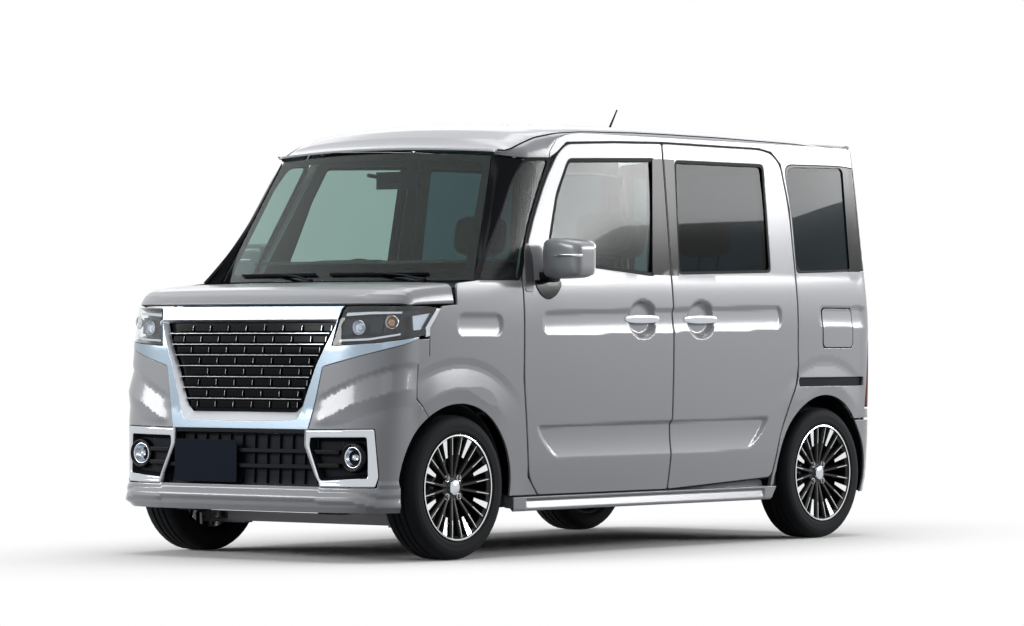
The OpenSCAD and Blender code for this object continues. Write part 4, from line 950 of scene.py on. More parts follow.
def frame_edge():
    """The rail and rear quarter in one outline, from the sill up the sliding door and round to the tailgate."""
    g = PANEL_GAP
    door_top = [(SY - 155 + g, 233), (SY - 155 + g, SILL + 30), (SY - 116 + g, 449), (SY - 59 + g, 574),
                (SY + 7 + g, 690), (SY + g, 807), (SY + 1 + g, BELT + 57), (SY - 9 + g, BELT + 329),
                (SY - 51 + 6, RAIL - 57), (SY - 108, RAIL - 8), (SY - 196, RAIL + 5), (BY, RAIL + 7.5),
                (FA + 1049, RAIL), (FA + 752, RAIL - 13), (FA + 693, RAIL - 56)]
    front_top = [(FA + 650, RAIL - 80), (FA + 655, RAIL - 50), (FA + 700, RAIL + 2), (FA + 760, CANT - 8)]
    cant = [(y, CANT) for y in (FA + 830, 0, 600, 1200, TAIL_START)]
    corner = [(quarter_s(x, z), z) for x, z in ((690, 1685), (640, 1678), (637, RAIL - 60), (647, 1150), (647, 908),
                                                (712, 886), (712, 553), (560, 553), (560, 514))]
    low = [(y, 514) for y in (TAIL_START, 1560)]
    return door_top + front_top + cant + corner + low + arch(RA, REAR_ARCH, 43.5, 187)


def make_rail(s, tag):
    """The windscreen pillar and the rail along the roof's side."""
    p = Build("paint", "piano")
    # the pillar, from the edge of the windscreen to the edge of the quarter window
    v = np.linspace(-0.01, 0.985, 24)
    inner = screen(np.stack([np.full(24, SCREEN_U + 3.0), v * SCREEN_V], 1)) + [0, -2, 3]
    edge = [(FA + 100, BELT + 4), (FA + 318, BELT + 250), (FA + 424, RAIL - 168), (FA + 510, RAIL - 84)]
    z = edge[0][1] + (edge[-1][1] - edge[0][1]) * np.clip(v, 0, 1)
    y = np.interp(z, [e[1] for e in edge], [e[0] for e in edge])
    outer = np.stack([side_x(y, z) - 0.5, y, z], 1)
    rows = [inner + [0, 4, -22]]
    for t in np.linspace(0, 1, 7):
        m = inner * (1 - t) + outer * t
        m[:, 0] += 9 * math.sin(math.pi * t)
        m[:, 1] -= 7 * math.sin(math.pi * t)
        rows.append(m)
    rows.append(outer + [-16, 4, -6])
    p.grid(np.array(rows).transpose(1, 0, 2), 1)
    # the rail, a quarter round from the upper edge of the windows to the roof, with a dark strip beside the roof
    crown = [(FA + 404, 1592), (FA + 512, RAIL - 81), (FA + 646, RAIL - 77), (FA + 655, RAIL - 50),
             (FA + 678, RAIL - 22), (FA + 700, RAIL + 1), (FA + 730, CANT - 16), (FA + 765, CANT - 7),
             (FA + 840, CANT - 4), (TAIL_START, CANT - 4)]
    ys = np.concatenate([np.linspace(FA + 404, FA + 646, 14), np.linspace(FA + 655, FA + 765, 12),
                         np.linspace(FA + 800, TAIL_START, 36)])
    zs = pick(ys, crown)
    low = np.stack([side_x(ys, zs) - 0.4, ys, zs], 1)
    meet = 566 + (low[:, 0] - 566) * np.clip((ys - FA - 404) / 108, 0, 1)
    low[:, 0] = np.where(ys < FA + 512, meet, low[:, 0])
    along = np.clip((ys - WS_TOP[1]) / (ROOF_END - WS_TOP[1]), 0.0, 1)
    top = roof(np.stack([np.full(len(ys), ROOF_U - 3.0), along * ROOF_V], 1))
    top[:, 1] = np.maximum(top[:, 1], FA + 404)
    p.tube(top + [3, 0, -1.0], 3.2, 6, 1)
    rows = []
    for t in np.linspace(0, math.pi / 2, 9):
        m = low.copy()
        m[:, 0] = top[:, 0] + (low[:, 0] - top[:, 0]) * math.cos(t)
        m[:, 2] = low[:, 2] + (np.minimum(top[:, 2], HEIGHT) - 2 - low[:, 2]) * math.sin(t)
        rows.append(m)
    p.grid(np.array(rows), 0)
    p.make("side_rail_" + tag, "body", (), "paint", s)


def make_sides():
    """The rear quarters with their openings, the slot below them, the fixed side glass and the rails."""
    glass_hole = [(SY + 16, BELT + 56), (RA + 250, BELT + 68), (quarter_s(654, BELT + 82), BELT + 70),
                  (quarter_s(642, RAIL - 66), RAIL - 62), (RA + 200, RAIL - 52), (SY - 26, RAIL - 58),
                  (SY + 8, BELT + 327)]
    fine = [(-1230, 1700, 1650, 1700, 18), POCKETS[2], (860, 1530, 500, 800, 11), (1480, 1560, 500, 1690, 16)]
    hole_radii, window_radii = [20, 100, 12, 12, 60, 60, 120], [40, 12, 20, 20, 60]
    slot = [(SY + 16, 655), (RA + 308, 655), (RA + 308, 693), (SY + 10, 693)]
    quarter_radii = [6, 20, 40, 200, 200, 20, 40, 200, 200]
    # the fuel lid's hole, wider where the lid's front edge swings inwards
    lid_hole = [(a if a > RA else RA - 23 if abs(c - 905) < 78 else RA - 14, c) for a, c in grown(LID_LINE, 3.5)]
    for s, tag in SIDES:
        b = Build("paint", "gloss", "black")
        holes = [rounded(glass_hole, hole_radii)]
        if not s:
            holes.append(rounded(lid_hole, 6, 4))
        holes.append(rounded(slot, 6))
        b.shell(quarter, frame_edge(), holes, 16, EDGE_ROLL, 27, fine, 0)
        b.shell(side_plain, rounded(grown(slot, 1), 6), (), 2, 0.5, 60, (), 2, depth=10, step=40)
        frit = rounded(offset(ccw(glass_hole), 2), hole_radii)
        b.shell(quarter, frit, [rounded(REAR_WIN, window_radii)], 5, 1.2, 30, [(1480, 1560, 1100, 1640, 16)], 1,
                depth=0.4)
        b.make("body_side_" + tag, "body", ("body_sides",) if not s else (), "paint", s)
        g = Build("smoke")
        pane(g, side_plain, rounded(grown(REAR_WIN, 3), window_radii), 60, 6.5, 30)
        pane(g, bowed, rounded(grown(SLIDE_WIN, 4), 20), 40, 13, 24)
        g.make("rear_window_" + tag, "body", ("rear_side_glass",) if not s else (), "dark_glass", s)
        q = Build("glass", "rubber")
        pane(q, side_plain, rounded(grown(QUARTER_WIN, 1), quarter_radii), 60, 6, 30)
        rim = [(FA + 96, BELT + 4), (FA + 372, BELT + 4), (FA + 403, BELT + 48), (FA + 471, BELT + 190),
               (FA + 573, BELT + 361), (FA + 662, RAIL - 78), (FA + 512, RAIL - 84), (FA + 426, RAIL - 168),
               (FA + 322, BELT + 252)]
        q.shell(side_plain, rounded(rim, [6, 20, 40, 200, 200, 12, 40, 200, 200]),
                [rounded(QUARTER_WIN, quarter_radii)],
                14, 1.2, 40, (), 1, depth=0.5, step=25)
        q.make("front_quarter_window_" + tag, "body", ("front_quarter_glass",) if not s else (), "clear_glass", s)
        make_rail(s, tag)


# Section of a wheel liner, as (radius, distance in from the body's side)
LINER = ((337, 6), (337, 168), (340.5, 168), (340.5, 6), (337, 6))


def make_linings():
    """Trim inside the luggage room, and the liners over the rear wheels."""
    for s, tag in SIDES:
        b = Build("lining", "black")
        flat = [(RE - 72, 330), (RE - 72, 1070), (RA - 372, 1070), (RA - 372, 330)]
        flat += arch(RA, REAR_ARCH + 6, 8.3, 171.7)[::-1]
        b.shell(side_plain, ccw(flat), (), 3, 1, 40, (), 0, depth=76)
        rows = []
        for r, d in LINER:
            p = side_plain(np.array(arch(RA, r, -10, 190)))
            p[:, 0] -= d
            rows.append(p)
        b.grid(np.array(rows), 1)
        b.make("luggage_lining_" + tag, "body", (), "trim_grey", s)


def make_fenders():
    g = PANEL_GAP
    edge = [(HY + 117, 240), (HY + 44, 313), (HY - g, 705), (HY - g, BELT + 5), (FA + 127, BELT + 5),
            (FA - 4, BELT - 8), (FA - 16, BELT - 20), (FA - 16, BELT - 92), (FA - 95, BELT - 98),
            (FA - 110, BELT - 108),
            (FA - 172, BELT - 184), (FA - 172, 792), (FA - 234, 763), (FA - 239, 628)]
    wheel = arch(FA, FENDER_ARCH, 122.2, -7.3)
    fine = [(-1236, -936, 852, 972, 9), (FA - 240, FA + 380, 560, 806, 6), (FA + 300, FA + 380, 380, 600, 10)]
    for s, tag in SIDES:
        b = Build("paint", "black")
        b.shell(side, edge + wheel, (), 9, EDGE_ROLL, 24, fine, 0, m_back=1)
        b.make("front_fender_" + tag, "body", ("fenders",) if not s else (), "paint", s)


def make_skirts():
    y0, y1 = HY - 44, RA - 337

    def skirt(q):
        """Between its end blocks the skirt steps inwards below its upper edge and flares out again lower down."""
        p = side_plain(q)
        t = np.clip((q[:, 1] - 174) / 59, 0, 1)
        block = ease((y0 + 92 - q[:, 0]) / 12) + ease((q[:, 0] - y1 + 92) / 12)
        step_in = 12 * (1 - block) * np.clip((0.86 - t) / 0.10, 0, 1)
        flared = 9 * (1 - block) * np.clip((0.74 - t) / 0.5, 0, 1)
        p[:, 0] += 2.6 - step_in + flared - 7 * ease((0.16 - t) / 0.16)
        return p

    for s, tag in SIDES:
        b = Build("paint")
        b.shell(skirt, [(y0, 233), (y0 + 5, 176), (y1 - 32, 176), (y1, 233)], (), 46, 2.2, 22,
                [(y0, y1, 174, 234, 9)], 0)
        b.make("side_skirt_" + tag, "body", ("side_skirts",) if not s else (), "paint", s)


# ---------------------------------------------------------------- top
def make_roof():
    """The roof's sheet, with its lining below, and the aerial."""
    b = Build("paint", "lining")
    fine = [(-600, -500, 0, 2300, 16), (500, 600, 0, 2300, 16), (-500, 500, 0, 260, 20), (-470, 470, 260, 420, 16)]
    b.shell(roof, oblong(ROOF_U - 1, 2, ROOF_V - 2), (), mm(settings().roof), 3, 34, fine, 0, m_back=1)
    b.make("roof_panel", "body", ("roof",), "paint")
    m = Build("black")
    foot = roof(np.array([[0, 0.648 * ROOF_V]]))[0]
    y, z = float(foot[1]), float(foot[2])
    m.lathe([(0, 14), (14, 13.5), (22, 8), (29, 2), (30, 0)], (0, y, z), (0, 0, 1), 28)
    m.tube([(0, y, z + 8), (0, y + 20, z + 39), (0, y + 40, z + 69), (0, y + 59, z + 98)], [5.5, 4.6, 3.8, 3.4], 10)
    m.make("aerial", "body", ("antenna",), "black_plastic")


def make_hood():
    b = Build("paint", "black")
    fine = [(-718, -560, 0, 380, 8), (560, 718, 0, 380, 8), (-560, 560, 0, 120, 13)]
    b.shell(hood, oblong(HOOD_U - 3, 2, HOOD_V - 2), (), mm(settings().bonnet), EDGE_ROLL, 26, fine, 0, m_back=1)
    b.make("bonnet_panel", "bonnet", ("bonnet",), "paint")


def make_screen():
    """The windscreen and the dark border on its inner face."""
    b = Build("screen")
    full = oblong(SCREEN_U - 2, 3, SCREEN_V - 3)
    b.shell(screen, full, (), 4.6, 1.0, 34)
    w = Build("rubber")
    w.shell(screen, full, [rounded([(-560, 34), (560, 34), (566, 548), (-566, 548)], 40)], 1.2, 0.4, 40, depth=5.2)
    b.make("windscreen_pane", "body", ("windscreen",), "clear_glass")
    w.make("windscreen_border", "body", (), "black_gloss")


# ---------------------------------------------------------------- front
def front_half():
    """The front cover's outline in runs, from its lower middle round the wheel to its upper middle."""
    g = 1.5
    top = [(front_y(FA - 173 - g, 790), 790), (front_y(FA - 173 - g, 858), 858), (front_s(716, 857), 855.5),
           (front_s(620, 806), 804.5), (front_s(560, 790), 789), (front_s(408, 752), 750.5)]
    seam = [(front_y(FA - 241 - g, 626), 626), (front_y(FA - 236 - g, 761), 759), (front_y(FA - 176, 786), 788)]
    wheel = on_cheek(arch(FA, FENDER_ARCH, 196.5, 122.4))
    inner = [(front_s(386.5, 630), 630), (front_s(357.5, 509.5), 509.5), (front_s(346, 493), 493),
             (front_s(346, 450), 450), (front_s(421, 292), 290.5), (0, 290.5)]
    return [(0, 190), (front_y(-1509.5, 190), 190)] + wheel + seam + top + inner


def slat(b, x0, x1, z0, z1, thick, lip, m, depth, step=25, back=True):
    """A straight bar across the nose, between two stations and two heights."""
    b.shell(front_plain, on_front([(x0, z0), (x1, z0), (x1, z1), (x0, z1)]), (), thick, lip, 60, (), m, depth=depth,
            back=back, step=step)


def make_cover():
    b = Build("paint", "black")
    hole = rounded(on_front(grown(BEZEL_OUT, 1.5)), 8)
    fine = [(-1100, 1100, 186, 342, 9), (372, 1100, 500, 792, 11), (-1100, -372, 500, 792, 11)]
    b.shell(front, whole(front_half()), [hole, [(-a, z) for a, z in hole]], 8, EDGE_ROLL, 24, fine, 0, m_back=1)
    b.make("front_cover", "body", ("front_bumper",), "paint")


def make_surround():
    """The plated frame round the grille, its bevel, and the bright strips at the headlamps' ends."""
    c = Build("chrome", "bright", "pearl")
    out, inn, mid = whole(SURROUND_OUT), whole(SURROUND_IN), whole(SURROUND_MID)
    radii = [1, 6, 4, 4, 20, 2, 2, 20, 10, 20, 8, 1, 8, 20, 10, 20, 2, 2, 20, 4, 4, 6][:len(out)]
    c.shell(front_plain, rounded(on_front(out), radii), [rounded(on_front(mid), 12)], 13, 2.0, 22, (), 0, depth=-1.8)
    a, d = paired(ccw(on_front(mid)), ccw(on_front(inn)), 12)
    c.ribbon(front_plain, d, 24, a, -1.0, 2, 5)
    for s in (1, -1):
        rim = [(-1310, 974), (-1371, 899), (-1371, 870), (-1394, 864), (-1393, 902), (-1332, 975)]
        c.shell(front_plain, [(s * front_y(y, z), z) for y, z in rim], (), 6, 1.5, 20, (), 1, depth=-2.2, step=10)
    c.make("grille_frame", "body", ("grille_surround",), "chrome")


def make_grille():
    """Seven thin slats with bright edges, and rows of blocks between them, set off by half a block."""
    k = Build("piano", "bright")
    k.shell(front_plain, on_front(whole(SURROUND_IN)), (), 4, 1, 60, (), 0, depth=GRILLE_DEPTH)
    rows, z_low, z_high, block = 8, 583, 923, 96
    pitch = (z_high - z_low) / rows

    def reach(z):
        """Half the grille's width inside its surround."""
        return float(np.interp(z, [577, 627, 752, 925], [280, 313, 364, 452]) - 6)

    for i in range(rows):
        z = z_low + i * pitch
        w = reach(z) - 2
        if i:
            slat(k, -w, w, z - 3, z + 3, 22, 1.2, 0, 9)
            # painted highlight: a bright plated line along the gloss-black slat's face, where light catches it
            slat(k, -w, w, z - 1, z + 1.2, 2, 0.4, 1, 7.6, back=False)
        zm = z + pitch / 2
        wm = reach(zm - 12)
        n = int((2 * wm - 20) // block)
        for j in range(-n // 2, n // 2 + 2):
            x = (j + (0.5 if i % 2 else 0)) * block
            lo, hi = max(x - 41, -wm + 4), min(x + 41, wm - 4)
            if hi - lo < 18:
                continue
            face = [(lo, zm - 12), (hi, zm - 12), (hi, zm + 12), (lo, zm + 12)]
            # painted highlight: a slanted bright plated tick at the block's end, where light catches the gloss black
            edge = [(hi + 0.6, zm - 9), (hi + 2.2, zm - 11), (hi + 3.6, zm + 9), (hi + 2.0, zm + 11)]
            k.shell(front_plain, rounded(on_front(face), 3, 3), (), 16, 1.6, 60, (), 0, depth=15, step=24)
            k.shell(front_plain, on_front(edge), (), 10, 0.3, 60, (), 1, depth=14, back=False, step=24)
    k.make("grille_bars", "body", ("grille",), "black_gloss")


def make_lower_grille():
    """Dark backing, two cross bars, upright bars, and the front plate."""
    m = Build("black")
    m.shell(front_plain, on_front(whole(LOW_OPEN)), (), 4, 1, 60, (), 0, depth=34)
    m.shell(front_plain, on_front(whole([(0, 508), (354, 508), (343, 494), (0, 494)])), (), 20, 1.5, 40, (), 0,
            depth=3)
    for z0, z1 in ((418, 434), (358, 374)):
        w = 350 + (450 - z0) * 0.45
        slat(m, -w, w, z0, z1, 22, 2.5, 0, 11)
    for x in range(-390, 391, 65):
        slat(m, x - 2, x + 2, 300, 488, 10, 0.5, 0, 24, step=30, back=False)
    m.make("lower_grille_bars", "body", ("lower_grille",), "black_gloss")
    p = Build("plate")

    def flat(q):
        return np.stack([q[:, 0], np.full(len(q), FE + 19), q[:, 1]], 1)
    p.shell(flat, rounded([(-335, 300), (-5, 300), (-5, 465), (-335, 465)], 10), (), 2.0, 1.0, 60, ())
    p.make("front_number_plate", "body", ("front_plate",), "plate")


def make_headlamps():
    """A clear lens, and behind it a dark bowl with a projector, an indicator, bright strips and a reflector."""
    shape = [(front_s(446, 832), 832), (front_s(486, 982), 982)]
    shape += [(s, 984) for s in np.linspace(front_s(560, 983), front_y(-1310, 975), 6)[:-1]]
    shape += [(front_y(-1308, 975), 976), (front_y(-1372, 899), 899), (front_y(-1372, 880), 872),
              (front_s(716, 867), 867), (front_s(632, 843), 843)]
    for s, tag in SIDES:
        lens = Build("lens")
        lens.shell(front_plain, rounded(shape, [4, 4, 300, 300, 300, 300, 300, 20, 10, 10, 10, 60]), (), 3, 1.2, 24,
                   (), depth=0.6)
        lens.make("headlamp_lens_" + tag, "body", ("headlamps",) if not s else (), "lamp_clear", s)
        b = Build("bowl", "reflector", "bright", "amber", "lens")
        o = offset(dense(ccw(rounded(shape, 6)), EDGE_STEP), 2.5)
        o2 = offset(o, 16)
        b.ribbon(front_plain, o, 5, o2, LAMP_DEPTH, 0, 4)
        v2, tri = fill([o2], 24)
        pts, nn = front_plain(v2), normals(front_plain, v2)
        b.add(pts - nn * LAMP_DEPTH, tri)

        def dish(x, z, r, deep):
            """A reflector with a bright ring; gives its centre, the face's normal there and its axis."""
            at = np.array([[front_s(x, z), z]])
            c, n = front_plain(at)[0], normals(front_plain, at)[0]
            axis = unit(np.array([n[0] * 0.45, n[1], 0.0]))
            b.lathe([(r, -6), (r * 0.98, -10), (r * 0.86, -deep * 0.6), (r * 0.55, -deep), (2, -deep - 3)][::-1],
                    tuple(c - n * 2), tuple(axis), 36, 1)
            b.lathe([(r * 0.97, -6), (r, -3.5), (r * 1.08, -3.5), (r * 1.1, -9)], tuple(c - n * 2), tuple(axis), 36,
                    2)
            return c, n, axis
        # the projector and its lens ball, then the indicator
        c, n, axis = dish(552, 902, 26, 30)
        b.lathe([(1, 26), (9, 24.5), (16, 19), (20, 10), (22, 0)], tuple(c - n * 32), tuple(axis), 32, 4)
        c, n, axis = dish(672, 922, 24, 24)
        b.lathe([(1, 14), (7, 12), (11, 6), (12, 0)], tuple(c - n * 24), tuple(axis), 24, 3)
        brow = on_front([(478, 962), (600, 966), (700, 964), (700, 956), (600, 955), (482, 948)])
        b.shell(front_plain, brow, (), 14, 1.2, 30, (), 2, depth=16, step=16)
        for x0, x1, z0, z1 in ((476, 520, 872, 940), (592, 640, 878, 946)):
            b.shell(front_plain, rounded(on_front([(x0, z0), (x1, z0 + 4), (x1 + 6, z1), (x0 + 10, z1)]), 5, 3), (),
                    8, 2, 30, (), 0, depth=20, step=16)
        # strip along the lower edge, and the reflector that runs round the corner
        lower = [(front_s(470, 848), 848), (front_s(600, 853), 853), (front_s(700, 872), 872),
                 (front_s(700, 878), 880), (front_s(600, 862), 862), (front_s(472, 856), 857)]
        b.shell(front_plain, lower, (), 6, 1.2, 30, (), 2, depth=8, step=16)
        wedge = on_cheek([(-1452, 946), (-1352, 958), (-1400, 893), (-1446, 889)])
        b.shell(front_plain, rounded(wedge, 5), (), 12, 2, 30, (), 1, depth=14)
        b.make("headlamp_inside_" + tag, "body", (), "lamp_clear", s)


def make_fogs():
    """A plated frame, a dark recess with two ledges, and the round lamp."""
    for s, tag in SIDES:
        b = Build("black", "gloss", "reflector", "bright")
        out = rounded(on_front(BEZEL_OUT), 8)
        inn = rounded(on_front(BEZEL_IN), 10)
        b.shell(front_plain, out, [inn], 12, 8, 24, (), 3, depth=-3.0)
        a = dense(ccw(inn), EDGE_STEP)
        d = offset(a, 12)
        b.ribbon(front_plain, d, FOG_DEPTH, a, 2, 0, 4)
        v2, tri = fill([d], 26)
        pts, nn = front_plain(v2), normals(front_plain, v2)
        b.add(pts - nn * FOG_DEPTH, tri)
        for z0 in (424, 372):
            b.shell(front_plain, on_front([(392, z0 - 8), (500, z0 - 8), (500, z0 + 8), (380, z0 + 8)]), (), 24, 2.5,
                    30, (), 1, depth=10)
        c = front_plain(np.array([[front_s(*FOG_AT), FOG_AT[1]]]))[0]
        y = c[1]
        b.lathe([(34, 30), (38, 28), (46, 4), (50, 0), (55, 2), (58, 10), (58, 40)], (c[0], y + 4, c[2]), (0, 1, 0),
                44, 1)
        b.lathe([(1, 40), (20, 36), (32, 22), (38, 6)], (c[0], y + 8, c[2]), (0, 1, 0), 40, 2)
        b.lathe([(36.5, 8), (39.5, 5), (42, 8)], (c[0], y + 4, c[2]), (0, 1, 0), 40, 3)
        b.lathe([(0.5, 8), (8, 10), (12, 16), (13, 30)], (c[0], y + 6, c[2]), (0, 1, 0), 24, 3)
        b.make("fog_lamp_" + tag, "body", ("fog_bezels", "fog_lamps") if not s else (), "chrome", s)


# ---------------------------------------------------------------- rear
def make_gate():
    """The tailgate's skin, its window with a dark border, and the bar above the plate."""
    b = Build("paint", "gloss", "trim")
    hole = whole([(0, BELT + 72), (628, BELT + 72), (618, RAIL - 60), (0, RAIL - 60)])
    radii = [1, 20, 20, 30, 60, 200, 30, 300, 300, 1, 300, 300, 30, 200, 60, 30, 20, 20]
    b.shell(rear_plain, rounded(on_rear(whole(GATE_LINE)), radii), [rounded(on_rear(hole), [1, 20, 20, 1, 20, 20])],
            38, 3, 27, (), 0, m_back=2)
    b.shell(rear_plain, rounded(on_rear(offset(ccw(hole), 2)), 18), [rounded(on_rear(whole(GATE_WIN)), 24)], 5, 1.2,
            32, (), 1, depth=0.5)
    garnish = [(-250, 880), (250, 880), (236, 925), (-236, 925)]
    b.shell(rear_plain, rounded(garnish, 10), (), 6, 2.5, 30, (), 0, depth=-5)
    b.make("tailgate_panel", "tailgate", ("tailgate",), "paint")
    g = Build("privacy")
    pane(g, rear_plain, rounded(on_rear(grown(whole(GATE_WIN), 3)), 20), 50, 6)
    g.make("tailgate_window", "tailgate", ("tailgate_glass",), "dark_glass")


def make_spoiler():
    p = Build("paint")

    def wing(q):
        """The spoiler, from x and its depth in hundredths."""
        x, v = q[:, 0], q[:, 1] / 100
        y0 = ROOF_END + 33
        y1 = RE - 106 + 26 * (1 - (x / 622) ** 2)
        y = y0 + (y1 - y0) * v
        dip = (14 + 4 * ease((np.abs(x) - 440) / 130)) * (1 - v) ** 2
        return np.stack([-x, y, HEIGHT - 8e-5 * x * x - 30 - 10 * v - 3 * v * v - dip], 1)
    p.shell(wing, oblong(621, 1, 99), (), 22, 4, 24, (), 0)
    p.make("roof_spoiler", "tailgate", ("spoiler",), "paint")


def make_rear_plate():
    r = Build("plate")
    r.pad((-165, RE - 22, 700), (165, RE - 11, 865), m=0, power=14)
    r.make("rear_number_plate", "tailgate", ("rear_plate",), "plate")


def make_rear_cover():
    """The rear bumper's skin from arch to arch, with the dark flanges behind the tail lamps."""
    c = Build("paint", "black")

    def run(z):
        """The run from the middle of the tail to the wheel arch at height z."""
        return REAR_SIDE + TAIL_START - (RA + REAR_ARCH * math.cos(math.asin((z - AXLE_Z) / REAR_ARCH)))

    top = run(505)
    wheel = [(REAR_SIDE + TAIL_START - y, z) for y, z in arch(RA, REAR_ARCH, -15.5, 42)]
    c.shell(rear_plain, whole([(0, 192), (run(190) - 6, 192)] + wheel + [(top - 2, 505), (0, 505)]), (),
            8, EDGE_ROLL, 27, (), 0, m_back=1)
    for k in (-1, 1):
        c.shell(rear_plain, ccw([(k * (top - 14), 488), (k * 650, 488), (k * 650, 556), (k * (top - 14), 556)]), (),
                3, 1, 40, (), 1, depth=15)
    c.make("rear_cover", "body", ("rear_bumper",), "paint")


def make_tail_lamps():
    """Red lamps with a clear field for the reversing light."""
    for s, tag in SIDES:
        t = Build("red", "lens")
        shape = [(-rear_s(x, z), z) for x, z in LAMP_LINE]
        t.shell(rear_plain, rounded(shape, 12), (), 12, 3, 20, (), 0, depth=-0.8)
        mid = [(-rear_s(x, z), z) for x, z in ((574, 640), (692, 640), (692, 700), (574, 700))]
        t.shell(rear_plain, rounded(mid, 6), (), 2, 1, 30, (), 1, depth=-2.2)
        t.make("tail_lamp_" + tag, "body", ("tail_lamps",) if not s else (), "lamp_red", s)


# ---------------------------------------------------------------- wheels
TYRE_HALF = [(207, -72), (211, -77), (219, -79.6), (221, -80.6), (224, -80.6), (226, -80.4), (240, -82.0), (252, -82.2),
             (254, -81.0), (257, -80.8), (266, -78), (273, -71), (279, -60), (281, -34), (274, -32), (274, -26),
             (281.2, -24), (281.2, -4), (274.5, -2)]
TYRE = TYRE_HALF + [(r, -x) for r, x in TYRE_HALF[::-1]] + [(207, 60), (207, -60)]
BARREL = [(207, 72), (207, 79), (203, 80.5), (199, 79), (197, 70), (190, 64), (187, 30), (185, -60), (190, -66),
          (199, -70), (207, -72)]
RIM_EDGE = [(206.5, 73.5), (205.5, 79.9), (202, 81.2), (199.5, 79.2)]
HUB = [(62, -30), (62, 10), (58, 46), (34, 50), (0, 50)]
HUB_CAP = [(0.5, 66), (24, 65), (29, 62), (30, 49)]
DISC = [(130, -16), (130, -6), (62, -6), (62, 4)]
BOLT = [(0.5, 60), (6.5, 59.5), (8.5, 57), (8.8, 46)]
BOLT_RING = [(9.5, 53.5), (12.5, 54), (14, 52.5), (14.5, 46)]
BOLT_CIRCLE = 50


def blade(m, y, a0, half_in, half_out, r0, r1, x_in, x_out, m_top, m_side, swell, deep=26):
    """A spoke with a flat face and sides that lean away, at angle a0 on the wheel at station y."""
    rows = []
    d = np.array([0, math.cos(a0), math.sin(a0)])
    e = np.array([0, -math.sin(a0), math.cos(a0)])
    for t in np.linspace(0, 1, 9):
        h = half_in + (half_out - half_in) * t
        x = x_in + (x_out - x_in) * t ** 1.4 + swell * math.sin(math.pi * t)
        base = np.array([HUB_X, y, AXLE_Z]) + d * (r0 + (r1 - r0) * t)
        rows.append([base + e * w + [x - down, 0, 0] for w, down in
                     ((-h - 5, deep), (-h, 2.5), (-(h - 2), 0), (h - 2, 0), (h, 2.5), (h + 5, deep))])
    rows = np.array(rows)
    m.grid(rows[:, :3], m_side)
    m.grid(rows[:, 2:4], m_top)
    m.grid(rows[:, 3:], m_side)


def make_wheels():
    for where, y in (("front", FA), ("rear", RA)):
        for s, tag in SIDES:
            body = "wheel_%s_%s" % (where, tag)
            c = (HUB_X, y, AXLE_Z)
            t = Build("tyre")
            t.lathe(TYRE, c, sides=50)
            t.make("tyre_rubber_%s_%s" % (where, tag), body, ("tyre_%s_%s" % (where, tag),), "tyre", s)
            m = Build("dark_alloy", "machined", "disc", "steel", "bright")
            for profile, sides, k in ((BARREL, 96, 0), (RIM_EDGE, 96, 1), (HUB, 48, 0), (HUB_CAP, 40, 4),
                                      (DISC, 60, 2)):
                m.lathe(profile, c, sides=sides, m=k)
            # short machined bars, and between them pairs of dark spokes with a bright line
            for k in range(8):
                blade(m, y, math.radians(22.5 + 45 * k), 8, 15.5, 124, 200, 60, 74, 1, 0, 1)
                for q in (-1, 1):
                    turn = math.radians(45 * k + 8.5 * q)
                    blade(m, y, turn, 5.5, 6.5, 40, 199, 52, 72, 0, 0, 4)
                    blade(m, y, turn, 0.5, 0.9, 70, 197, 54.4, 73.2, 1, 1, 4, 3)
            for k in range(4):
                a = math.radians(45 + 90 * k)
                at = (HUB_X, y + BOLT_CIRCLE * math.cos(a), AXLE_Z + BOLT_CIRCLE * math.sin(a))
                m.lathe(BOLT, at, sides=12, m=3)
                m.lathe(BOLT_RING, at, sides=16, m=4)
            m.make("wheel_alloy_%s_%s" % (where, tag), body, ("rim_%s_%s" % (where, tag),), "alloy", s)


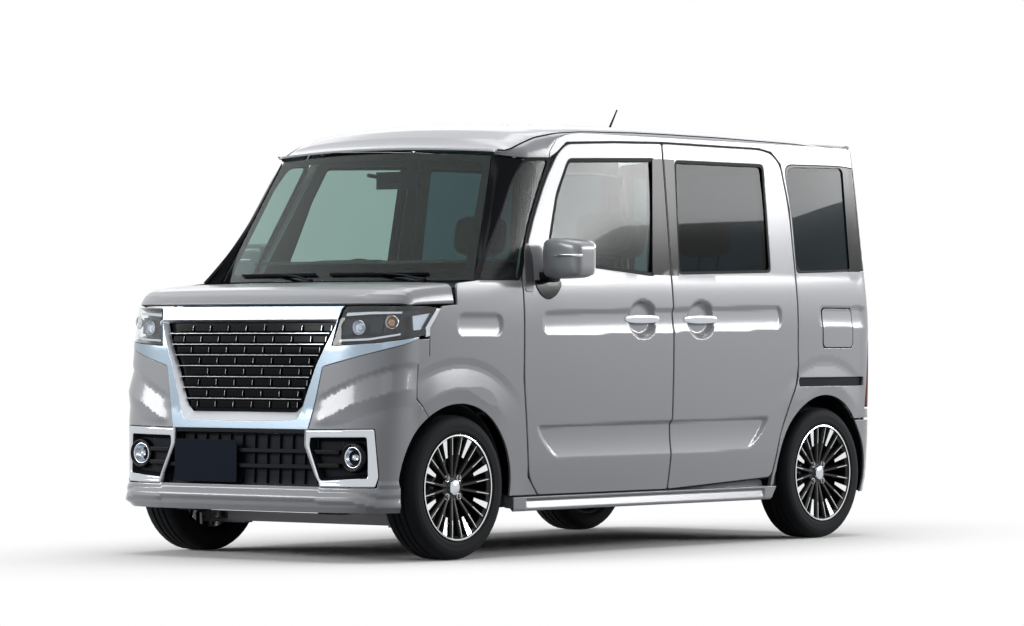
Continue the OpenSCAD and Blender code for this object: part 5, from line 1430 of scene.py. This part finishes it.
# ---------------------------------------------------------------- mirrors, handles, wipers, lid
def make_mirrors():
    """Housings with glass and a bright line, their feet, and the covers at the doors' front corners."""
    for s, tag in SIDES:
        lo, hi = [np.array(v) * 1000 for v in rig.box("mirror_left")]
        b = Build("paint", "gloss", "mirror", "bright", "satin")

        def swell(q, p):
            """Narrows the housing towards its tip and fills out its face near the door."""
            t = (q[..., 0:1] - lo[0]) / (hi[0] - lo[0])
            out = q.copy()
            mid = (lo + hi) / 2
            k = 1 - 0.10 * ease((t[..., 0] - 0.5) / 0.5)
            out[..., 2] = mid[2] + (q[..., 2] - mid[2]) * k
            out[..., 1] += 8 * (1 - t[..., 0]) * (q[..., 1] < mid[1])
            return out
        y0, y1 = max(lo[1], -722), -594
        z0, z1 = 1096, 1257
        b.pad((736, y0, z0), (min(hi[0], 934.8), y1, z1), m=0, n=6, power=5.5, bulge=swell)
        b.pad((762, y1 - 6, z0 + 12), (922, y1 + 1.5, z1 - 12), m=2, n=3, power=8)
        b.pad((806, y0 - 1.0, z0 + 84), (934.5, y0 + 40, z0 + 97), m=3, n=3, power=6)
        b.pad((690, -700, z0 - 14), (790, -636, z0 + 30), m=1, n=3, power=4)
        tear = [(-735, BELT + 8), (-567, BELT + 8), (-566, BELT - 14), (-600, BELT - 52), (-655, BELT - 74),
                (-704, BELT - 54), (-732, BELT - 18)]
        b.shell(side_plain, rounded(tear, [6, 10, 40, 60, 60, 60, 40]), (), 8, 4, 16, (), 1, depth=-3.5)
        # the cover at the door's front corner: its dark grey is painted shade, standing for the shade on this
        # body-coloured part
        shaded_sail = [(-800, BELT - 38), (-748, BELT - 42), (-736, BELT + 12), (-722, BELT + 90), (-730, BELT + 146),
                (-748, BELT + 158), (-766, BELT + 130), (-788, BELT + 40)]
        b.shell(side_plain, rounded(shaded_sail, [10, 10, 60, 60, 14, 10, 40, 60]), (), 5, 2.5, 16, (), 4, depth=-2.2)
        b.make("door_mirror_" + tag, "door_" + tag, ("mirror_" + tag,), "paint", s)


def make_handles():
    for s, tag in SIDES:
        for y, body, name in ((FRONT_HANDLE, "door_" + tag, "front_handle_"), (REAR_HANDLE, "body", "rear_handle_")):
            b = Build("bright", "gloss")
            x = float(side_x(np.array(y), np.array(940.0)))
            b.pad((x - 14, y - 116, 921), (min(x + 2, 737.4), y + 116, 957), m=0, n=6, power=2.6)
            for foot in (y + 60, y - 84):
                b.pad((x - 24, foot, 931), (x - 8, foot + 24, 949), m=1, n=2, power=5)
            b.make(name + tag, body, (), "chrome", s)


def make_lid():
    b = Build("paint", "black")
    b.shell(side, rounded(LID_LINE, 10, 4), (), 5, 2, 14, (), 0, m_back=1)
    b.make("fuel_flap", "fuel_lid", ("fuel_lid",), "paint")


def make_wipers():
    """Two arms with blades on the windscreen, and one on the tailgate's window."""
    b = Build("black")
    for x0, x1 in ((-60, -520), (480, 20)):
        xs = np.linspace(min(x0, x1), max(x0, x1), 22)
        rest = np.stack([xs / WS_LOW[0] * SCREEN_U, np.full(22, 0.052 * SCREEN_V)], 1)
        low, n = screen(rest), normals(screen, rest)
        b.tube(low + n * 5, 3.2, 8, flat=1.9, up=(0, 0.5, 1))
        b.tube(low + n * 11, 4.5, 8, flat=0.8, up=(0, 0.5, 1))
        c = screen(np.array([[x0 / WS_LOW[0] * SCREEN_U, 3.0]]))[0] + [0, -24, -4]
        m = (low + n * 14)[11]
        b.tube([c + [0, 0, 6], c * 0.6 + m * 0.4 + [0, -4, 10], m], [8, 6.5, 5], 10, flat=0.6)
        b.lathe([(0, 16), (8, 15), (12, 10), (12, -12)], tuple(c), (0, 0, 1), 24)
    b.make("front_wipers", "body", ("wipers",), "black_plastic")
    r = Build("black")
    line = ((0, 1150), (-60, 1185), (-180, 1190), (-300, 1196), (-400, 1200))
    p = [rear_plain(np.array([[v, z]]))[0] + [0, 9, 0] for v, z in line]
    r.tube(p, [9, 7, 6, 5, 4], 10, flat=0.7, up=(0, 1, 0))
    c = rear_plain(np.array([[0.0, 1150.0]]))[0]
    r.lathe([(0, 18), (14, 17), (18, 12), (19, 0)], tuple(c), (0, 1, 0), 28)
    r.make("rear_wiper_arm", "tailgate", ("rear_wiper",), "black_plastic")


# ---------------------------------------------------------------- cabin
def leaned(angle, cy, cz, shape=None):
    """Tips a pad back about the line at cy, cz, after an optional change of shape."""
    c, k = math.cos(math.radians(angle)), math.sin(math.radians(angle))

    def tip(q, p):
        out = q.copy() if shape is None else shape(q, p)
        yy, zz = out[..., 1] - cy, out[..., 2] - cz
        out[..., 1] = cy + yy * c + zz * k
        out[..., 2] = cz + zz * c - yy * k
        return out
    return tip


def seat(name, x0, x1, y, z0, nodes, headrests=(0.5,)):
    """A cushion, a back and headrests on a plinth; y is where the cushion meets the back."""
    b = Build("cloth", "trim")
    mid, width = (x0 + x1) / 2, x1 - x0

    def hollow(x, share):
        """A soft hollow along the middle of a panel."""
        return np.exp(-((x - mid) / (width * share)) ** 2)

    def groove(at, centre):
        return np.exp(-((at - centre) / 8) ** 2)

    def seam(x):
        """Sewn channels down both sides of the middle panel."""
        return sum(6.5 * np.exp(-((x - mid - k * width * 0.3) / 7) ** 2) for k in (-1, 1))

    def cushion(q, p):
        out, top = q.copy(), p[..., 2] > 0.6
        out[..., 2] -= (seam(q[..., 0]) + 3 * groove(q[..., 1], y - 330) + 14 * hollow(q[..., 0], 0.27)) * top
        return out

    def back(q, p):
        out, face = q.copy(), p[..., 1] < -0.5
        out[..., 1] += (16 * hollow(q[..., 0], 0.26) + seam(q[..., 0]) + 5 * groove(q[..., 2], 1010)) * face
        out[..., 0] = mid + (q[..., 0] - mid) * (1 - 0.12 * ease((q[..., 2] - 840) / 350))
        return out
    b.pad((x0 + 4, y - 496, 443), (x1 - 4, y + 16, 563), m=0, n=7, power=5, bulge=cushion)
    b.pad((x0 + 14, y + 23, 466), (x1 - 14, y + 147, 1186), m=0, n=7, power=5, bulge=leaned(13, y + 20.3, 490, back))
    for k in headrests:
        xm = x0 + width * k
        b.pad((xm - 128, y + 63, 1228), (xm + 128, y + 147, 1396), m=0, n=5, power=4, bulge=leaned(8, y + 60, 500))
        for dx in (-50, 50):
            b.tube([(xm + dx, y + 240, 1150), (xm + dx, y + 262, 1262)], 6, 10, 1)
    b.pad((x0 + 50, y - 440, z0 + 3), (x1 - 50, y - 45, 440), m=1, n=3, power=8)
    o = b.make(name, "body", nodes, "seat_fabric", sharp=60)
    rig.padded(o, 0.85)


def make_seats():
    seat("front_seat_left", 100, 560, FA + 1190, 240, ("front_seats",))
    seat("front_seat_right", -560, -100, FA + 1190, 240, ())
    lo, hi = [np.array(v) * 1000 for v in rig.box("rear_seat")]
    seat("rear_seat_bench", lo[0], hi[0], lo[1] + 500, lo[2] + 1, ("rear_seat",), (0.27, 0.73))


def make_dashboard():
    lo, hi = [np.array(v) * 1000 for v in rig.box("dashboard")]
    b = Build("trim", "gloss")

    def dash(q):
        """The moulded skin, from x and the way back over its top, in six hundredths."""
        x, t = q[:, 0], q[:, 1] / 600
        y = lo[1] + (hi[1] - lo[1]) * np.interp(t, [0, 0.35, 0.6, 0.75, 1], [0.02, 0.55, 0.9, 0.98, 0.86])
        z = lo[2] + (hi[2] - lo[2]) * np.interp(t, [0, 0.35, 0.6, 0.75, 1], [0.97, 0.985, 0.93, 0.72, 0.05])
        return np.stack([x, y + 6 * np.sin(x / 180) * (t > 0.5), z], 1)
    b.shell(dash, [(lo[0] + 2, 4), (lo[0] + 2, 596), (hi[0] - 2, 596), (hi[0] - 2, 4)][::-1], (), 10, 3, 30, (), 0)
    b.pad((-130, hi[1] - 18, hi[2] - 170), (130, hi[1] - 4, hi[2] - 50), m=1, n=3, power=10)
    b.make("dashboard_top", "body", (), "trim_grey")


def make_steering_wheel():
    centre, tilt, radius, grip = np.array([-330, FA + 697, BELT - 58.0]), math.radians(27), 172, 12
    ax = np.array([0, math.cos(tilt), math.sin(tilt)])
    w = Build("trim")
    u, v = np.array([1.0, 0, 0]), np.cross(ax, [1.0, 0, 0])
    ang = np.linspace(0, 2 * math.pi, 60, endpoint=False)
    ring = np.outer(np.cos(ang), u) + np.outer(np.sin(ang), v)
    rows = []
    for k in range(14):
        t = 2 * math.pi * k / 14
        rows.append(centre + (radius + grip * math.cos(t)) * ring + grip * math.sin(t) * ax)
    w.grid(np.array(rows + rows[:1]), 0, True)
    for a in (0, math.pi, -math.pi / 2 if v[2] > 0 else math.pi / 2):
        d = math.cos(a) * u + math.sin(a) * v
        w.tube([centre + d * r for r in (40, 110, 168)], [16, 13, 12], 10, 0, flat=0.5, up=tuple(ax))
    w.lathe([(0, 12), (40, 11), (60, 4), (64, -8), (50, -16), (0, -18)], tuple(centre), tuple(ax), 36)
    w.make("steering_wheel_rim", "steering_wheel", ("steering_wheel",), "trim_grey")


# ---------------------------------------------------------------- frame pieces that stay
STAYING = {
    "under": "floor_pan bulkhead fuel_tank rear_axle tie_downs",
    "black": "cowl steering_column interior_mirror",
    "steel": "knuckle_left knuckle_right front_subframe exhaust",
    "machined": "engine",
    "trim": "dashboard",
}


def dress_frame():
    """Gives the CAD pieces that stay in view their finishes."""
    for finish_name, nodes in STAYING.items():
        for n in nodes.split():
            o = frame["nodes"].get(n)
            if o is None:
                continue
            if not o.material_slots:
                o.data.materials.append(FINISHES[finish_name]())
            for m in o.material_slots:
                m.material = FINISHES[finish_name]()


# ---------------------------------------------------------------- stage
CAMERA_AT = (11.5323, -14.2126, 0.8544)
CAMERA_AZIMUTH, CAMERA_ELEVATION = 39.0186, -0.35125
CAMERA_LENS, SENSOR_WIDTH = 153.5, 36
FLOOR_HALF = 60
# name, place, width, height, the setting that holds its power, and what it points at
LAMPS = [
    ("top", (0.0, 0.3, 5.6), 4.6, 6.4, "top_light", (0, 0.3, 0.5)),
    ("left_rear", (7.6, 9.4, 3.9), 9.0, 2.2, "side_light", (0, 0, 1.2)),
    ("right_front", (-7.6, -9.4, 4.35), 9.0, 2.2, "front_light", (0, 0, 1.2)),
    ("left_front", (8.4, -10.4, 6.4), 8.0, 4.0, "key_light", (0, 0, 0.8)),
    ("right_rear", (-8.4, 10.4, 6.4), 8.0, 4.0, "key_light", (0, 0, 0.8)),
]


def seen(tree):
    """1 for what the camera sees, straight on, in a reflection or through glass, and 0 for light that bounces."""
    path = node(tree, "LightPath")
    level = path.outputs["Is Camera Ray"]
    for ray in ("Is Glossy Ray", "Is Transmission Ray"):
        pair = node(tree, "Math")
        pair.operation = "MAXIMUM"
        tree.links.new(level, pair.inputs[0])
        tree.links.new(path.outputs[ray], pair.inputs[1])
        level = pair.outputs[0]
    return level


def pale_floor():
    """A floor that keeps the wagon's shadow close by and runs out to plain white, dark to the light that bounces."""
    mat = bpy.data.materials.new("Pale floor")
    mat.use_nodes = True
    t = mat.node_tree
    t.nodes.clear()
    link = t.links.new
    near = node(t, "BsdfDiffuse", Color=(0.92, 0.92, 0.92, 1))
    far = node(t, "Emission")
    dull = node(t, "BsdfDiffuse", Color=(0.04, 0.04, 0.043, 1))
    where = node(t, "TexCoord")
    fit = node(t, "Mapping", Scale=(1 / 0.95, 1 / 1.9, 0))
    length = node(t, "VectorMath")
    length.operation = "LENGTH"
    span = node(t, "MapRange", From_Min=0.8, From_Max=1.9)
    span.interpolation_type = "SMOOTHSTEP"
    link(where.outputs["Object"], fit.inputs["Vector"])
    link(fit.outputs["Vector"], length.inputs[0])
    link(length.outputs["Value"], span.inputs["Value"])
    pale, both = node(t, "MixShader"), node(t, "MixShader")
    for mix, share, low, high in ((pale, span.outputs["Result"], near, far), (both, seen(t), dull, pale)):
        link(share, mix.inputs["Fac"])
        link(low.outputs[0], mix.inputs[1])
        link(high.outputs[0], mix.inputs[2])
    link(both.outputs[0], node(t, "OutputMaterial").inputs["Surface"])
    return mat


def add_object(name, data):
    obj = bpy.data.objects.new(name, data)
    bpy.context.scene.collection.objects.link(obj)
    return obj


def make_room():
    """A white world, dimmed for the light that bounces, and the floor."""
    world = bpy.data.worlds.new("Pale room")
    bpy.context.scene.world = world
    world.use_nodes = True
    t = world.node_tree
    background = t.nodes["Background"]
    background.inputs["Color"].default_value = (1, 1, 1, 1)
    span = node(t, "MapRange", To_Min=settings().room, To_Max=1.0)
    t.links.new(seen(t), span.inputs["Value"])
    t.links.new(span.outputs["Result"], background.inputs["Strength"])
    mesh = bpy.data.meshes.new("floor")
    f = FLOOR_HALF
    mesh.from_pydata([(-f, -f, 0), (f, -f, 0), (f, f, 0), (-f, f, 0)], [], [(0, 1, 2, 3)])
    floor = add_object("floor", mesh)
    mesh.materials.append(pale_floor())
    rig.stage(floor)


def make_lamps():
    for name, at, wide, tall, power, aim in LAMPS:
        lamp = bpy.data.lights.new(name, "AREA")
        lamp.shape = "RECTANGLE"
        lamp.size = wide
        lamp.size_y = tall
        lamp.energy = getattr(settings(), power)
        o = add_object(name, lamp)
        o.location = at
        o.rotation_euler = (Vector(aim) - Vector(at)).to_track_quat("-Z", "Y").to_euler()
        o.visible_camera = False
        o.visible_transmission = False


def make_camera():
    cam = bpy.data.cameras.new("camera")
    cam.sensor_width = SENSOR_WIDTH
    cam.lens = CAMERA_LENS
    cam.clip_end = 200
    o = add_object("camera", cam)
    o.location = CAMERA_AT
    a, e = math.radians(CAMERA_AZIMUTH), math.radians(CAMERA_ELEVATION)
    back = Vector((math.sin(a) * math.cos(e), -math.cos(a) * math.cos(e), math.sin(e)))
    o.rotation_mode = "QUATERNION"
    o.rotation_quaternion = (-back).to_track_quat("-Z", "Y")
    bpy.context.scene.camera = o
    bpy.context.scene.view_settings.view_transform = "Standard"


# ---------------------------------------------------------------- add-on
class LightWagonSettings(bpy.types.PropertyGroup):
    """Colours, thicknesses and lamps of the wagon's scene"""
    paint: FloatVectorProperty(name="Paint", description="Colour of the silver metallic paint", subtype="COLOR",
                               size=3, default=(0.335, 0.345, 0.37))
    plating: FloatVectorProperty(name="Plating", description="Colour of the satin plating on the nose",
                                 subtype="COLOR", size=3, default=(0.31, 0.38, 0.45))
    cabin: FloatVectorProperty(name="Cabin trim", description="Colour of the moulded cabin trim", subtype="COLOR",
                               size=3, default=(0.05, 0.05, 0.052))
    cloth: FloatVectorProperty(name="Seat cloth", description="Colour of the seat cloth", subtype="COLOR", size=3,
                               default=(0.035, 0.035, 0.038))
    glass: FloatVectorProperty(name="Glass", description="Tint of the windscreen and front door glass",
                               subtype="COLOR", size=3, default=(0.62, 0.78, 0.74))
    privacy: FloatVectorProperty(name="Privacy glass", description="Tint of the rear glass", subtype="COLOR", size=3,
                                 default=(0.05, 0.12, 0.14))
    pane: FloatProperty(name="Glass thickness", description="Thickness of the side and tailgate glass", default=0.004,
                        min=0.002, max=0.008, precision=4, subtype="DISTANCE", unit="LENGTH")
    door: FloatProperty(name="Door depth", description="Depth of the side doors from skin to trim", default=0.042,
                        min=0.02, max=0.06, precision=4, subtype="DISTANCE", unit="LENGTH")
    roof: FloatProperty(name="Roof depth", description="Depth of the roof from skin to lining", default=0.009,
                        min=0.004, max=0.03, precision=4, subtype="DISTANCE", unit="LENGTH")
    bonnet: FloatProperty(name="Bonnet depth", description="Depth of the bonnet from skin to inner panel",
                          default=0.012, min=0.004, max=0.03, precision=4, subtype="DISTANCE", unit="LENGTH")
    room: FloatProperty(name="Room light", description="Strength of the light from all round", default=0.2, min=0,
                        max=2)
    top_light: FloatProperty(name="Top lamp", description="Power of the lamp overhead", default=235, min=0,
                             subtype="POWER", unit="POWER")
    front_light: FloatProperty(name="Front lamp", description="Power of the lamp ahead and to the right", default=760,
                               min=0, subtype="POWER", unit="POWER")
    side_light: FloatProperty(name="Side lamp", description="Power of the lamp at the left and behind", default=860,
                              min=0, subtype="POWER", unit="POWER")
    key_light: FloatProperty(name="Corner lamps", description="Power of the lamps at the other two corners",
                             default=70, min=0, subtype="POWER", unit="POWER")


def operator(key, label, text, *steps):
    """Makes the operator class of one group of pieces."""
    def execute(self, context):
        for step in steps:
            step()
        return {"FINISHED"}
    return type("WAGON_OT_" + key, (bpy.types.Operator,), {
        "__doc__": text, "bl_idname": "wagon." + key, "bl_label": label, "bl_options": {"REGISTER", "UNDO"},
        "execute": execute})


OPERATORS = [
    operator("stage", "Stage", "Adds the floor, lamps and camera", make_room, make_lamps, make_camera),
    operator("doors", "Doors", "Builds the hinged front doors and their glass", make_doors),
    operator("slides", "Sliding doors", "Builds the sliding rear doors", make_slides),
    operator("sides", "Body sides", "Builds the rear quarters, roof rails, pillars and fixed side glass", make_sides,
             make_linings),
    operator("fenders", "Fenders", "Builds the front fenders and the side skirts", make_fenders, make_skirts),
    operator("roof", "Roof", "Builds the roof and the aerial", make_roof),
    operator("hood", "Bonnet", "Builds the bonnet", make_hood),
    operator("screen", "Windscreen", "Builds the windscreen and its border", make_screen),
    operator("nose", "Nose", "Builds the front cover, grilles and number plate", make_cover, make_surround,
             make_grille, make_lower_grille),
    operator("headlamps", "Headlamps", "Builds the headlamps", make_headlamps),
    operator("fogs", "Fog lamps", "Builds the fog lamps and their bezels", make_fogs),
    operator("tail", "Tail", "Builds the tailgate, spoiler, rear cover and tail lamps", make_gate, make_spoiler,
             make_rear_plate, make_rear_cover, make_tail_lamps),
    operator("wheels", "Wheels", "Builds the tyres and alloy wheels", make_wheels),
    operator("mirrors", "Mirrors", "Builds the door mirrors", make_mirrors),
    operator("handles", "Handles", "Builds the door handles and the fuel flap", make_handles, make_lid),
    operator("wipers", "Wipers", "Builds the wipers", make_wipers),
    operator("seats", "Seats", "Builds the seats", make_seats),
    operator("cabin", "Cabin", "Builds the dashboard top and steering wheel", make_dashboard, make_steering_wheel),
    operator("frame", "Frame finishes", "Gives the frame pieces that stay their finishes", dress_frame),
]


class WAGON_PT_panel(bpy.types.Panel):
    """Lists the wagon's settings and steps"""
    bl_idname = "WAGON_PT_panel"
    bl_label = "Light wagon"
    bl_space_type = "VIEW_3D"
    bl_region_type = "UI"
    bl_category = "Wagon"

    def draw(self, context):
        for name in LightWagonSettings.__annotations__:
            self.layout.prop(context.scene.light_wagon, name)
        for op in OPERATORS:
            self.layout.operator(op.bl_idname)


def register():
    for c in [LightWagonSettings, *OPERATORS, WAGON_PT_panel]:
        bpy.utils.register_class(c)
    bpy.types.Scene.light_wagon = PointerProperty(type=LightWagonSettings)


def unregister():
    del bpy.types.Scene.light_wagon
    for c in [WAGON_PT_panel, *reversed(OPERATORS), LightWagonSettings]:
        bpy.utils.unregister_class(c)


def main():
    register()
    for op in OPERATORS:
        group, name = op.bl_idname.split(".")
        getattr(getattr(bpy.ops, group), name)()
    box = [[float(v) for v in corner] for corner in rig.bounds()]
    with open("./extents.json", "w") as f:
        json.dump({"cad": CAD_BOX, "visual": box}, f)


if __name__ == "__main__":
    main()
